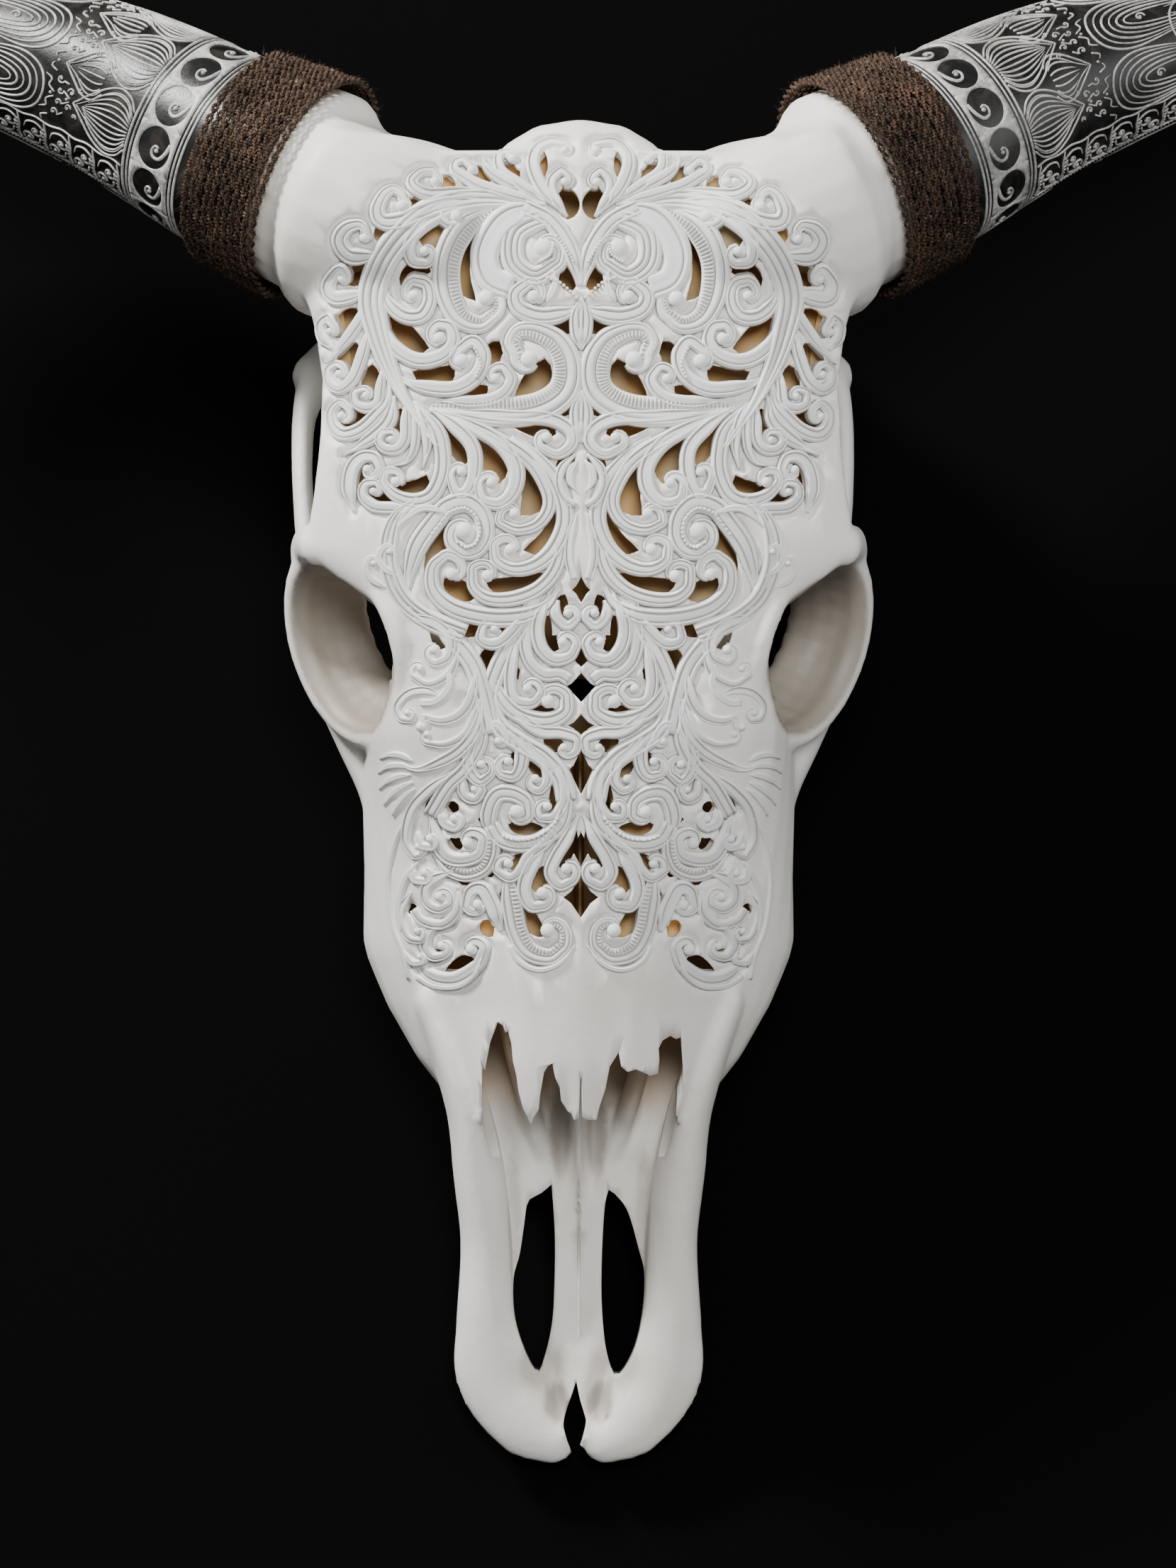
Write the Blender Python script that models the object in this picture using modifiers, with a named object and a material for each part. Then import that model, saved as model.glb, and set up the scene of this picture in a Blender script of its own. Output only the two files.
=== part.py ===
"""A carved cow skull lying face up on its cheek teeth, with its two horns, the cord wound round
the foot of each horn, and its twelve upper cheek teeth.

The skull is drawn in its own frame, in millimetres: x across, y from the nose tip (0) up to the
poll (460), z out of the forehead, with 0 at the highest point of the forehead. It is then tipped
by TIP_ANGLE, so that the nose comes down and the teeth stand flat on the table at z = 0.
"""

import math

import bmesh
import bpy
import numpy as np
from mathutils import Matrix, Vector

MM = 0.001

# Driving dimensions, in millimetres.
TIP_ANGLE = math.radians(12.0)
TABLE_DROP = 86.0  # how far the table lies below the forehead's level, at the nose tip
ORIGIN_Y = 274.3  # the middle of the whole object, measured along the table from the nose tip
VOXEL = 2.6  # grain of the modelled bone
PRESSED_TRIANGLES = 24000  # what each modelled heap keeps while the bone is put together
BONE_TRIANGLES = 2900  # what the bone keeps before its piercings are cut
GAP = 0.4  # between pieces that touch on the real object

# The foot of the right horn: where the cord starts, which way the horn leaves, and how thick it is.
HORN_FOOT = Vector((91.0, 441.0, -47.0))
HORN_WAY = Vector((0.840, 0.407, -0.356)).normalized()
FOOT_RADIUS = 37.6
FOOT_TAPER = 0.07
CORD_THICKNESS = 2.7
CORD_PITCH = 3.0
CORD_TURNS = 11
CORD_SEGMENTS = 12
CORD_CLEARANCE = 1.75  # at the corners of its faceted turns, so that their middles clear the horn
HORN_STARTS = 14.0  # along HORN_WAY from the foot, under the cord
SOCKET_CLEARANCE = 2.5

# Middle line of the right horn beyond the cord, as x, y, z and radius.
HORN_LINE = (
    (166.0, 480.5, -79.0, 31.0),
    (216.0, 500.0, -93.0, 25.5),
    (263.0, 513.0, -95.0, 20.0),
    (305.0, 520.0, -82.0, 14.5),
    (340.0, 526.0, -54.0, 8.5),
    (354.0, 528.5, -32.0, 4.5),
)
HORN_TIP = Vector((359.0, 529.5, -22.0))
HORN_SIDES = 16
ARCH_INSET = 3.5  # the right cheek arch stands closer to the head than the left one
EYE = Vector((80.0, 282.0, -40.0))  # middle of the rim of the right eye socket

# Upper cheek teeth from front to back: middle along the jaw, distance from the midline,
# length along the jaw and width.
TEETH = (
    (134.0, 39.0, 16.0, 15.0),
    (152.0, 42.5, 18.0, 18.0),
    (171.0, 46.0, 18.0, 20.0),
    (193.0, 49.5, 24.0, 22.0),
    (219.0, 52.5, 26.0, 23.0),
    (246.5, 54.5, 27.0, 22.0),
)
TOOTH_HEIGHT = 26.0
SOCKET_ROOF = 27.0
JAW_SOCKET_WIDTH = 25.0

BONE_WHITE = (0.74, 0.72, 0.66, 1.0)
HORN_BLACK = (0.012, 0.011, 0.010, 1.0)
CORD_BROWN = (0.060, 0.042, 0.031, 1.0)
TOOTH_IVORY = (0.62, 0.55, 0.42, 1.0)


def clear_scene():
    for old in list(bpy.data.objects):
        bpy.data.objects.remove(old, do_unlink=True)


def new_collection(name):
    collection = bpy.data.collections.new(name)
    bpy.context.scene.collection.children.link(collection)
    return collection


def material(name, colour, roughness):
    made = bpy.data.materials.new(name)
    made.use_nodes = True
    made.diffuse_color = colour
    shader = made.node_tree.nodes["Principled BSDF"]
    shader.inputs["Base Color"].default_value = colour
    shader.inputs["Roughness"].default_value = roughness
    shader.inputs["Metallic"].default_value = 0.0
    return made


def tipping_matrix():
    """From the skull's own frame to the table: the nose tipped down, the teeth at z = 0."""
    lift = TABLE_DROP * math.cos(TIP_ANGLE)
    place = Matrix.Translation(Vector((0.0, -ORIGIN_Y, lift)) * MM)
    return place @ Matrix.Rotation(TIP_ANGLE, 4, "X")


def smooth_line(points, count):
    """Catmull-Rom through rows of numbers, read off at count places spaced by their x, y, z length."""
    rows = np.array(points, float)
    ends = np.vstack([2 * rows[0] - rows[1], rows, 2 * rows[-1] - rows[-2]])
    fine = []
    for i in range(len(rows) - 1):
        a, b, c, d = ends[i : i + 4]
        for t in np.linspace(0.0, 1.0, 12, endpoint=False):
            fine.append(
                0.5
                * (
                    2 * b
                    + (c - a) * t
                    + (2 * a - 5 * b + 4 * c - d) * t**2
                    + (3 * b - a - 3 * c + d) * t**3
                )
            )
    fine = np.array(fine + [rows[-1]])
    steps = np.linalg.norm(np.diff(fine[:, :3], axis=0), axis=1)
    along = np.concatenate([[0.0], np.cumsum(steps)])
    wanted = np.linspace(0.0, along[-1], count)
    return np.stack([np.interp(wanted, along, column) for column in fine.T], axis=1)


def skin_rings(mesh, rings):
    """Faces between rings of points, and a cap at each end."""
    rows = [[mesh.verts.new(Vector(p) * MM) for p in ring] for ring in rings]
    for low, high in zip(rows, rows[1:]):
        for i in range(len(low)):
            j = (i + 1) % len(low)
            mesh.faces.new((low[i], low[j], high[j], high[i]))
    mesh.faces.new(rows[0][::-1])
    mesh.faces.new(rows[-1])


def unit_ball():
    """Points and faces of a ball of radius 1."""
    ball = bmesh.new()
    bmesh.ops.create_uvsphere(ball, u_segments=12, v_segments=8, radius=1.0)
    ball.verts.index_update()
    points = np.array([vert.co for vert in ball.verts])
    faces = [[vert.index for vert in face.verts] for face in ball.faces]
    ball.free()
    return points, faces


class Clay:
    """A heap of closed shapes in the skull's frame, pressed into one surface by a voxel remesh."""

    ball_points, ball_faces = unit_ball()

    def __init__(self, name):
        self.name = name
        self.points = []
        self.faces = []

    def add(self, points, faces, both):
        """Takes in a closed shape in millimetres, and its mirror image if both is set."""
        for side in (1, -1) if both else (1,):
            start = len(self.points)
            self.points += [(side * x, y, z) for x, y, z in points]
            self.faces += [[start + i for i in face[::side]] for face in faces]

    def add_rings(self, rings, both):
        """Takes in a skin over rings of points, closed at its ends."""
        around = len(rings[0])
        faces = [list(range(around))[::-1]]
        for row in range(len(rings) - 1):
            for i in range(around):
                j = (i + 1) % around
                low, high = row * around, (row + 1) * around
                faces.append([low + i, low + j, high + j, high + i])
        last = (len(rings) - 1) * around
        faces.append(list(range(last, last + around)))
        self.add([point for ring in rings for point in ring], faces, both)

    def loft(self, stations, around=20, spacing=6.0):
        """A body across the midline. Each station is its y and half an outline, from the
        top middle round the right side to the bottom middle."""
        halves = np.array(
            [smooth_line([(x, 0.0, z) for x, z in half], around)[:, (0, 2)].ravel()
             for _, half in stations]
        )
        ys = [y for y, _ in stations]
        wanted = np.arange(ys[0], ys[-1] + 0.5 * spacing, spacing)
        halves = np.stack([np.interp(wanted, ys, column) for column in halves.T], axis=1)
        rings = []
        for y, half in zip(wanted, halves.reshape(len(wanted), -1, 2)):
            right = [(x, y, z) for x, z in half]
            left = [(-x, y, z) for x, z in half[-2:0:-1]]
            rings.append(right + left)
        self.add_rings(rings, both=False)

    def lump(self, centre, radii, both=False):
        """An ellipsoid, on both sides of the midline if both is set."""
        self.add(self.ball_points * np.array(radii) + np.array(centre), self.ball_faces, both)

    def chain(self, points, both=True, spacing=3.5):
        """Ellipsoids close together along a smooth line of x, y, z and their three radii."""
        rows = np.array(points, float)
        length = np.linalg.norm(np.diff(rows[:, :3], axis=0), axis=1).sum()
        for row in smooth_line(rows, max(3, round(length / spacing))):
            self.lump(row[:3], row[3:], both)

    def turned(self, start, way, profile, sides=24):
        """A round body along a straight line, from rows of distance, radius and the highest y
        that it may reach."""
        across = way.cross(Vector((0, 0, 1))).normalized()
        up = across.cross(way)
        rings = []
        for distance, radius, ceiling in profile:
            ring = []
            for step in range(sides):
                angle = 2 * math.pi * step / sides
                point = start + way * distance
                x, y, z = point + radius * (math.cos(angle) * across + math.sin(angle) * up)
                ring.append((x, min(y, ceiling), z))
            rings.append(ring)
        self.add_rings(rings, both=True)

    def press(self, collection, smooth=2):
        """The heap as one smooth closed object."""
        data = bpy.data.meshes.new(self.name)
        data.from_pydata((np.array(self.points) * MM).tolist(), [], self.faces)
        heap = bpy.data.objects.new(self.name, data)
        collection.objects.link(heap)
        remesh = heap.modifiers.new("press", "REMESH")
        remesh.mode = "VOXEL"
        remesh.voxel_size = VOXEL * MM
        soften = heap.modifiers.new("soften", "SMOOTH")
        soften.factor = 0.5
        soften.iterations = smooth
        settle(heap)
        thin_out(heap, PRESSED_TRIANGLES)
        return heap


def settle(obj):
    """The object's modifiers made part of its mesh."""
    graph = bpy.context.evaluated_depsgraph_get()
    baked = bpy.data.meshes.new_from_object(obj.evaluated_get(graph))
    baked.name = obj.name
    obj.modifiers.clear()
    obj.data = baked
    return obj


def thin_out(obj, triangles):
    """Brings a mesh down to about this many triangles."""
    present = sum(len(face.vertices) - 2 for face in obj.data.polygons)
    if present <= triangles:
        return
    thin = obj.modifiers.new("thin", "DECIMATE")
    thin.ratio = triangles / present
    settle(obj)


def boolean(target, other, operation):
    cut = target.modifiers.new(operation.lower(), "BOOLEAN")
    cut.object = other
    cut.operation = operation
    cut.solver = "EXACT"
    settle(target)


def as_cutter(obj):
    obj.hide_render = True
    obj.display_type = "WIRE"


def bone_outside(collection):
    """The filled outer form: face, forehead, horn bosses, braincase, nape and skull base."""
    clay = Clay("bone")
    # Face, from the nasal opening to behind the eyes.
    clay.loft((
        (118, (
            (0, -23), (18, -25), (30, -32), (38, -48), (43, -66), (44, -80), (38, -89), (20, -88),
            (0, -86),
        )),
        (135, (
            (0, -19), (20, -21), (32, -29), (44, -45), (56, -62), (56, -80), (46, -93), (20, -91),
            (0, -89),
        )),
        (155, (
            (0, -15.5), (20, -18), (34, -27), (50, -42), (66, -60), (68, -76), (56, -94),
            (40, -99), (18, -95), (0, -93),
        )),
        (175, (
            (0, -12), (22, -15), (38, -24), (57, -40), (72, -58), (77, -74), (66, -94), (48, -104),
            (20, -100), (0, -97),
        )),
        (200, (
            (0, -8), (24, -11), (42, -20), (61, -36), (73, -54), (76.5, -72), (70, -94),
            (54, -109), (24, -106), (0, -103),
        )),
        (225, (
            (0, -4.5), (28, -7), (48, -15), (65, -30), (74, -50), (77, -72), (71, -96), (57, -115),
            (26, -112), (0, -109),
        )),
        (250, (
            (0, -2), (32, -4), (54, -10), (68, -22), (74, -42), (76, -68), (70, -96), (57, -120),
            (30, -118), (0, -115),
        )),
        (266, (
            (0, -1.3), (34, -3), (56, -8.5), (67, -18), (70, -40), (72, -64), (62, -92),
            (50, -118), (28, -120), (0, -117),
        )),
        (280, (
            (0, -1), (34, -2.5), (57, -8), (66, -16), (66, -40), (64, -62), (50, -90), (36, -108),
            (24, -122), (0, -122),
        )),
        (302, (
            (0, 0), (34, -1.5), (60, -7), (70, -14), (60, -34), (48, -60), (36, -88), (26, -108),
            (18, -126), (0, -130),
        )),
    ))
    # Forehead, a thick plate that overhangs the temples.
    clay.loft((
        (290, ((0, 0), (34, -1.5), (58, -7), (66, -14), (60, -26), (30, -32), (0, -34))),
        (313, ((0, 0), (40, -1), (72, -7), (96, -16), (96, -24), (80, -31), (50, -36), (0, -40))),
        (335, ((0, 0), (40, -1), (72, -6), (92, -14), (92, -22), (78, -31), (50, -38), (0, -42))),
        (356, (
            (0, -0.5), (40, -1.5), (70, -6), (89, -14), (89, -24), (76, -35), (50, -42), (0, -46),
        )),
        (375, (
            (0, -1.5), (40, -2.5), (70, -7), (88, -15), (89, -27), (76, -39), (50, -46), (0, -50),
        )),
        (395, (
            (0, -2.5), (40, -3.5), (72, -8), (91, -17), (92, -32), (78, -46), (50, -52), (0, -55),
        )),
        (415, ((0, -4), (42, -5), (76, -9), (98, -19), (99, -40), (84, -56), (50, -60), (0, -62))),
        (432, ((0, -6), (42, -7), (76, -11), (97, -21), (97, -44), (82, -60), (50, -64), (0, -66))),
        (446, (
            (0, -9), (42, -10), (72, -14), (90, -24), (88, -46), (72, -60), (46, -64), (0, -66),
        )),
        (454.5, (
            (0, -13), (42, -14), (66, -18), (79, -28), (76, -44), (60, -54), (38, -58), (0, -60),
        )),
    ))
    clay.lump((0, 446, -27), (31, 18.5, 15))
    # Braincase, nape and skull base.
    clay.lump((0, 372, -80), (52, 66, 46))
    clay.loft((
        (392, (
            (0, -30), (30, -34), (46, -50), (53, -76), (51, -102), (38, -126), (18, -140), (0, -142),
        )),
        (425, (
            (0, -30), (36, -34), (56, -50), (65, -74), (66, -100), (50, -122), (22, -138), (0, -140),
        )),
        (440, (
            (0, -30), (42, -36), (58, -50), (65, -74), (67, -99), (52, -118), (22, -132), (0, -134),
        )),
        (447, (
            (0, -34), (38, -40), (52, -52), (58, -76), (58, -97), (44, -112), (20, -125), (0, -128),
        )),
    ))
    clay.chain((
        (0, 296, -124, 17, 10, 12), (0, 340, -132, 18, 10, 13), (0, 400, -132, 24, 10, 12),
    ), both=False)
    clay.lump((67, 411, -101), (12, 21, 18), both=True)
    # The boss that carries the horn, a neck under the cord, and the core inside the horn.
    clay.turned(HORN_FOOT, HORN_WAY, (
        (-66, 24, 457), (-48, 33, 457), (-28, 39, 457), (-16, 41.5, 458), (-10.5, 41.5, 459),
        (-7, 39.0, 462), (-3, 37.0, 464), (-1.5, FOOT_RADIUS - 1.4, 500), (9.5, FOOT_RADIUS - 1.6, 500),
        (11.0, 27, 500), (50, 20, 500), (74, 7, 500), (78, 3, 500),
    ))
    # Cheek: the swelling over the tooth roots, and the malar bone below the eye.
    clay.lump((62, 178, -76), (13, 26, 16), both=True)
    clay.chain((
        (60, 205, -74, 14, 16, 14), (67, 232, -74, 12, 14, 14),
        (78, 252, -76, 10, 12, 13), (88, 270, -79, 8, 10, 11), (93, 288, -82, 6, 9, 10),
    ))
    return clay.press(collection, smooth=3)


def bone_hollows(collection):
    """What is empty inside: nose, sinuses, eye sockets, brain cavity and the ways between them."""
    clay = Clay("hollows")
    clay.loft((
        (100, ((0, -27), (22, -29), (33, -38), (37, -55), (38, -70), (34, -81), (0, -81))),
        (118, ((0, -27), (20, -29), (31, -37), (36, -52), (37, -68), (33, -81), (0, -81))),
        (135, ((0, -23.5), (20, -26), (34, -35), (45, -50), (48, -68), (40, -83), (0, -84))),
        (155, ((0, -20), (22, -23), (36, -32), (52, -48), (58, -67), (46, -86), (0, -88))),
        (175, ((0, -17), (24, -20), (42, -30), (60, -47), (66, -65), (50, -88), (0, -92))),
        (200, ((0, -13), (26, -16), (46, -26), (62, -43), (66, -63), (50, -88), (0, -98))),
        (225, ((0, -9.5), (30, -12.5), (50, -21), (64, -37), (66, -58), (48, -90), (0, -104))),
        (245, ((0, -7.5), (33, -9.8), (53, -16), (60, -28), (50, -50), (36, -82), (0, -108))),
        (262, (
            (0, -6.8), (35, -8.6), (55, -14), (57, -19), (34, -26), (26, -60), (20, -86), (0, -104),
        )),
        (286, (
            (0, -6), (38, -7.5), (57, -12), (58, -16), (32, -22), (22, -40), (12, -62), (0, -70),
        )),
        (302, ((0, -6), (42, -7.5), (66, -12), (74, -17), (50, -24), (14, -30), (0, -31))),
        (325, ((0, -6), (44, -7.5), (70, -12), (82, -17), (78, -23), (50, -28), (0, -30))),
        (350, ((0, -6.5), (44, -8), (68, -12), (80, -18), (79, -24), (50, -30), (0, -32))),
        (380, ((0, -8), (44, -9), (68, -13), (80, -20), (80, -28), (50, -34), (0, -36))),
        (410, ((0, -10), (44, -11), (72, -15), (86, -24), (84, -36), (50, -40), (0, -42))),
        (430, ((0, -13), (44, -14), (66, -18), (80, -28), (78, -38), (50, -42), (0, -44))),
        (442, ((0, -20), (30, -21), (50, -24), (60, -32), (50, -38), (30, -40), (0, -42))),
    ), spacing=5.0)
    # From the nose down to the throat.
    clay.chain((
        (0, 262, -96, 17, 16, 14), (0, 280, -118, 15, 13, 16), (0, 292, -146, 14, 10, 16),
    ), both=False)
    # Eye sockets, open to the side.
    clay.lump((66, 283, -43), (31, 33, 28), both=True)
    clay.lump((86, 283, -44), (24, 30, 27), both=True)
    # Brain cavity and the hole at the nape.
    clay.lump((0, 376, -82), (41, 50, 33))
    clay.chain(((0, 415, -98, 22, 14, 20), (0, 462, -103, 17, 10, 17)), both=False)
    return clay.press(collection, smooth=1)


def bone_fine_parts(collection):
    """Bars and plates too thin for the filled form."""
    clay = Clay("fine_parts")
    # Rim of the eye socket, tipped so that it looks outwards and a little forward and up.
    along = Vector((0.33, 0.944, 0.0))
    upward = Vector((-0.465, 0.163, 0.870))
    outward = along.cross(upward)
    rim = []
    for step in range(25):
        angle = 2 * math.pi * step / 24
        spoke = math.cos(angle) * along + math.sin(angle) * upward
        thick = 5.0 - 1.0 * math.sin(angle)
        rim.append((*(EYE + 34 * spoke), thick, thick, thick))
        # The lower half of the rim runs on inwards as the floor of the socket.
        if math.sin(angle) < 0.3:
            for depth, radius in ((7, 32.5), (14, 30.5), (20, 28.5)):
                clay.lump(EYE + radius * spoke - depth * outward, (5, 5.5, 4), both=True)
    clay.chain(rim)
    # Bar behind the eye, from the forehead down to the cheek.
    clay.chain((
        (91, 316, -20, 7, 8, 6), (96, 317, -40, 4.5, 7, 8), (98, 315, -62, 4.5, 7, 8),
        (97, 305, -80, 5, 9, 8),
    ))
    # Cheek arch, running back to the ear.
    arch = (
        (90, 280, -80, 6, 8, 9), (95, 300, -84, 4.5, 8, 8.5), (98, 325, -88, 4, 8, 8),
        (99.5, 350, -95, 4, 8, 8), (98, 372, -104, 5, 9, 8), (90, 386, -108, 9, 9, 8),
        (74, 394, -106, 10, 10, 9), (58, 398, -102, 10, 12, 12),
    )
    for side, inset in ((1, ARCH_INSET), (-1, 0)):
        clay.chain([(side * (x - inset), *rest) for x, *rest in arch], both=False)
        clay.lump((side * (96 - inset), 381, -110), (8, 9, 9))
    # Front of the muzzle: the two rounded plates and the bars that rise to the cheek.
    clay.chain((
        (9.5, 0, -73, 9, 10, 5.5), (19, 7.5, -73, 15, 14.5, 6.5), (28, 22, -72, 16.5, 13, 7.5),
        (33, 42, -70, 11, 12, 9), (33, 70, -67, 9.5, 11, 11), (35.5, 95, -63, 9.5, 11, 14),
        (39, 116, -60, 8, 10, 17), (45, 136, -58, 7, 10, 18), (53, 157, -56, 6, 10, 16),
    ))
    clay.lump((49, 131, -84), (9, 12, 9), both=True)
    clay.chain((
        (7, 14, -76, 5, 8, 4), (4.6, 30, -77, 4.6, 8, 3.4), (4.3, 60, -78, 4.6, 8, 3.4),
        (4.3, 104, -82, 4.8, 8, 3.4), (6, 140, -88, 8, 8, 4),
    ))
    clay.chain((
        (13, 92, -83, 12, 9, 3), (16, 108, -84, 16, 9, 3.2), (20, 128, -86, 20, 10, 3.6),
        (22, 150, -91, 22, 10, 4),
    ))
    clay.chain(((28, 100, -80, 11, 9, 5), (32, 118, -84, 13, 10, 6), (38, 136, -90, 13, 10, 7)))
    # Plates that hang down beside the throat.
    clay.chain((
        (24, 262, -116, 4, 9, 12), (20, 280, -126, 3.2, 9, 15), (18, 298, -133, 3, 9, 13),
        (17, 318, -132, 3, 8, 10),
    ))
    clay.chain(((18, 300, -140, 2.8, 6, 8), (19, 308, -149, 2.6, 4, 4)))
    # Ear capsules, nape joints and the two long spurs that the back of the skull stands on.
    clay.chain(((44, 372, -136, 9, 11, 12), (47, 388, -134, 10, 12, 14)))
    clay.chain(((24, 434, -124, 15, 12, 18), (27, 444, -124, 16, 13, 19)))
    clay.chain((
        (67, 418, -112, 10, 15, 12), (63, 410, -136, 7, 11, 12), (58.5, 402, -156.5, 5.5, 8, 12),
        (57, 400, -163.6, 5, 7, 8),
    ))
    return clay.press(collection, smooth=1)


# Middle line and width of the largest piercings on the right side: three points and a width.
PIERCINGS = (
    ((21.5, 438.5), (24.5, 442), (24, 446.5), 5.5),
    ((36.5, 398.5), (41.5, 409), (37.5, 420.5), 5.0),
    ((48.5, 428), (51, 421), (53.5, 415.5), 7.0),
    ((51.5, 408.5), (57.5, 409), (62, 402.5), 4.5),
    ((64.5, 395), (60.5, 386.5), (51.5, 382.5), 6.5),
    ((44.5, 376.5), (49.5, 373), (59, 375), 5.5),
    ((12.8, 380), (15.5, 371), (23.5, 365), 6.5),
    ((72, 414), (76, 408.5), (81.5, 403.5), 5.0),
    ((77, 396.5), (81, 391), (84.5, 385.5), 5.0),
    ((77, 385), (79.5, 378.5), (82, 372), 5.5),
    ((72, 377.5), (72, 371), (71.5, 366), 4.5),
    ((62, 362.5), (62, 356.5), (62.5, 350.5), 5.0),
    ((72.5, 360), (78, 357.3), (83.5, 355.5), 4.5),
    ((48, 360), (42.5, 350), (40, 341), 5.0),
    ((36, 353), (30, 344), (28, 334), 6.0),
    ((22, 345), (15.5, 334), (21.5, 324.5), 7.5),
    ((8, 333), (10, 319), (21, 312.5), 6.0),
    ((12.5, 306), (23, 300.5), (34, 303.5), 5.0),
    ((35.5, 296.5), (42, 299.5), (47.5, 304), 5.0),
    ((38.5, 322), (47.5, 318), (53.5, 303.5), 4.5),
    ((52.5, 339.5), (57, 334.5), (64, 336.5), 4.5),
    ((31, 279), (31.3, 275), (31, 270), 4.5),
    ((16.5, 245), (14.8, 240), (14, 234), 4.5),
    ((8.8, 236.5), (8, 229), (11.5, 222.5), 3.8),
    ((12.5, 217.5), (19, 217), (25, 219), 3.0),
    ((19.5, 192.5), (17.5, 186), (11.5, 180.5), 4.0),
    ((36.5, 174), (40, 171), (46.5, 168), 3.8),
)
# Piercings on the midline, as their middle height, width and length.
MIDLINE_PIERCINGS = (
    (276, 8, 6.5), (265, 11, 9.5), (252, 8, 7), (237.5, 7, 12), (208.5, 9, 12), (191.5, 11, 11),
)


# Front edge of the nasal bones, from left to right: prongs, and notches between them.
NASAL_FRONT = (
    (-31, 112), (-30, 138), (-28.5, 150), (-26, 148), (-24, 142), (-22, 131), (-19.5, 119), (-17, 114),
    (-14.5, 119), (-12.7, 132), (-10, 136), (-7.2, 127), (-4.5, 119), (-2, 115.5), (5.5, 115.5),
    (8.5, 126),
    (13.3, 140), (16, 133), (26.7, 132), (28.3, 143.5), (31, 144), (31, 112), (31, 95), (-31, 95),
)


def outline_cutter(name, outline, collection):
    """A flat outline pushed through the front wall of the bone."""
    middle_y = sum(y for _, y in outline) / len(outline)
    shallow = middle_y > 250
    curve = bpy.data.curves.new(name, "CURVE")
    curve.dimensions = "2D"
    curve.fill_mode = "BOTH"
    curve.extrude = (15.0 if shallow else 25.0) * MM
    spline = curve.splines.new("POLY")
    spline.points.add(len(outline) - 1)
    for point, (x, y) in zip(spline.points, outline):
        point.co = (x * MM, y * MM, 0.0, 1.0)
    spline.use_cyclic_u = True
    flat = bpy.data.objects.new(name, curve)
    flat.location.z = (-6.0 if shallow else -13.0) * MM
    collection.objects.link(flat)
    bpy.context.view_layer.update()
    graph = bpy.context.evaluated_depsgraph_get()
    mesh = bpy.data.meshes.new_from_object(flat.evaluated_get(graph))
    mesh.transform(flat.matrix_world)
    bpy.data.objects.remove(flat, do_unlink=True)
    return mesh


def leaf_outline(start, middle, end, width):
    """A crescent with pointed ends along the curve through three points."""
    a, b, c = (np.array(p, float) for p in (start, middle, end))
    control = 2 * b - 0.5 * (a + c)
    left, right = [], []
    for t in (0.0, 0.2, 0.5, 0.8, 1.0):
        point = (1 - t) ** 2 * a + 2 * t * (1 - t) * control + t**2 * c
        way = 2 * (1 - t) * (control - a) + 2 * t * (c - control)
        normal = np.array((-way[1], way[0])) / np.hypot(*way)
        half = 0.5 * width * math.sin(math.pi * t) ** 0.7
        left.append(point + half * normal)
        right.append(point - half * normal)
    return [*left, *right[3:0:-1]]


def piercing_cutters(collection):
    """All piercings as one mesh, right and left."""
    outlines = []
    for start, middle, end, width in PIERCINGS:
        right = leaf_outline(start, middle, end, width)
        outlines += [right, [(-x, y) for x, y in right]]
    for y, width, length in MIDLINE_PIERCINGS:
        outlines.append([(0, y + length / 2), (width / 2, y), (0, y - length / 2), (-width / 2, y)])
    outlines.append(NASAL_FRONT)
    joined = bmesh.new()
    for number, outline in enumerate(outlines):
        joined.from_mesh(outline_cutter(f"piercing_{number}", outline, collection))
    bmesh.ops.remove_doubles(joined, verts=joined.verts, dist=1e-6)
    bmesh.ops.recalc_face_normals(joined, faces=joined.faces)
    mesh = bpy.data.meshes.new("piercings")
    joined.to_mesh(mesh)
    joined.free()
    cutter = bpy.data.objects.new("piercings", mesh)
    collection.objects.link(cutter)
    return cutter


def to_table(x, y, z):
    """A point of the skull's frame, in millimetres on the table."""
    return tipping_matrix() @ (Vector((x, y, z)) * MM) / MM


def table_height(y):
    """z of the table in the skull's frame."""
    return -TABLE_DROP - y * math.tan(TIP_ANGLE)


def tooth_places():
    """For each tooth of one side: middle on the table, length along the jaw and width."""
    places = []
    for y, x, length, width in TEETH:
        foot = to_table(x, y, table_height(y))
        places.append((foot.x, foot.y, length, width))
    return places


def tooth_outline(x, y, length, width):
    """Two rounded lobes on the tongue side and a ribbed flat cheek side."""
    half_l, half_w = length / 2 - GAP / 2, width / 2
    shape = (
        (0.55, -1.0), (0.95, -0.62), (1.0, -0.1), (0.9, 0.3), (1.0, 0.72), (0.6, 1.0),
        (-0.55, 0.98), (-0.95, 0.55), (-0.82, 0.0), (-0.95, -0.5), (-0.5, -0.98),
    )
    return [(x + half_w * u, y + half_l * v) for u, v in shape]


def make_teeth(collection, finish):
    """Six cheek teeth a side, each with a flat chewing face on the table."""
    for side, word in ((1.0, "right"), (-1.0, "left")):
        for number, (x, y, length, width) in enumerate(tooth_places(), start=1):
            foot = tooth_outline(x, y, length, width)
            neck = tooth_outline(x, y, length - 2.4, width - 3.4)
            mesh = bmesh.new()
            rings = []
            for outline, height in ((foot, 0.0), (foot, 12.0), (neck, TOOTH_HEIGHT)):
                rings.append([(side * px, py, height) for px, py in outline])
            skin_rings(mesh, rings)
            bmesh.ops.recalc_face_normals(mesh, faces=mesh.faces)
            data = bpy.data.meshes.new(f"tooth_{word}_{number}")
            mesh.to_mesh(data)
            mesh.free()
            tooth = bpy.data.objects.new(data.name, data)
            tooth.data.materials.append(finish)
            collection.objects.link(tooth)


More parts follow.
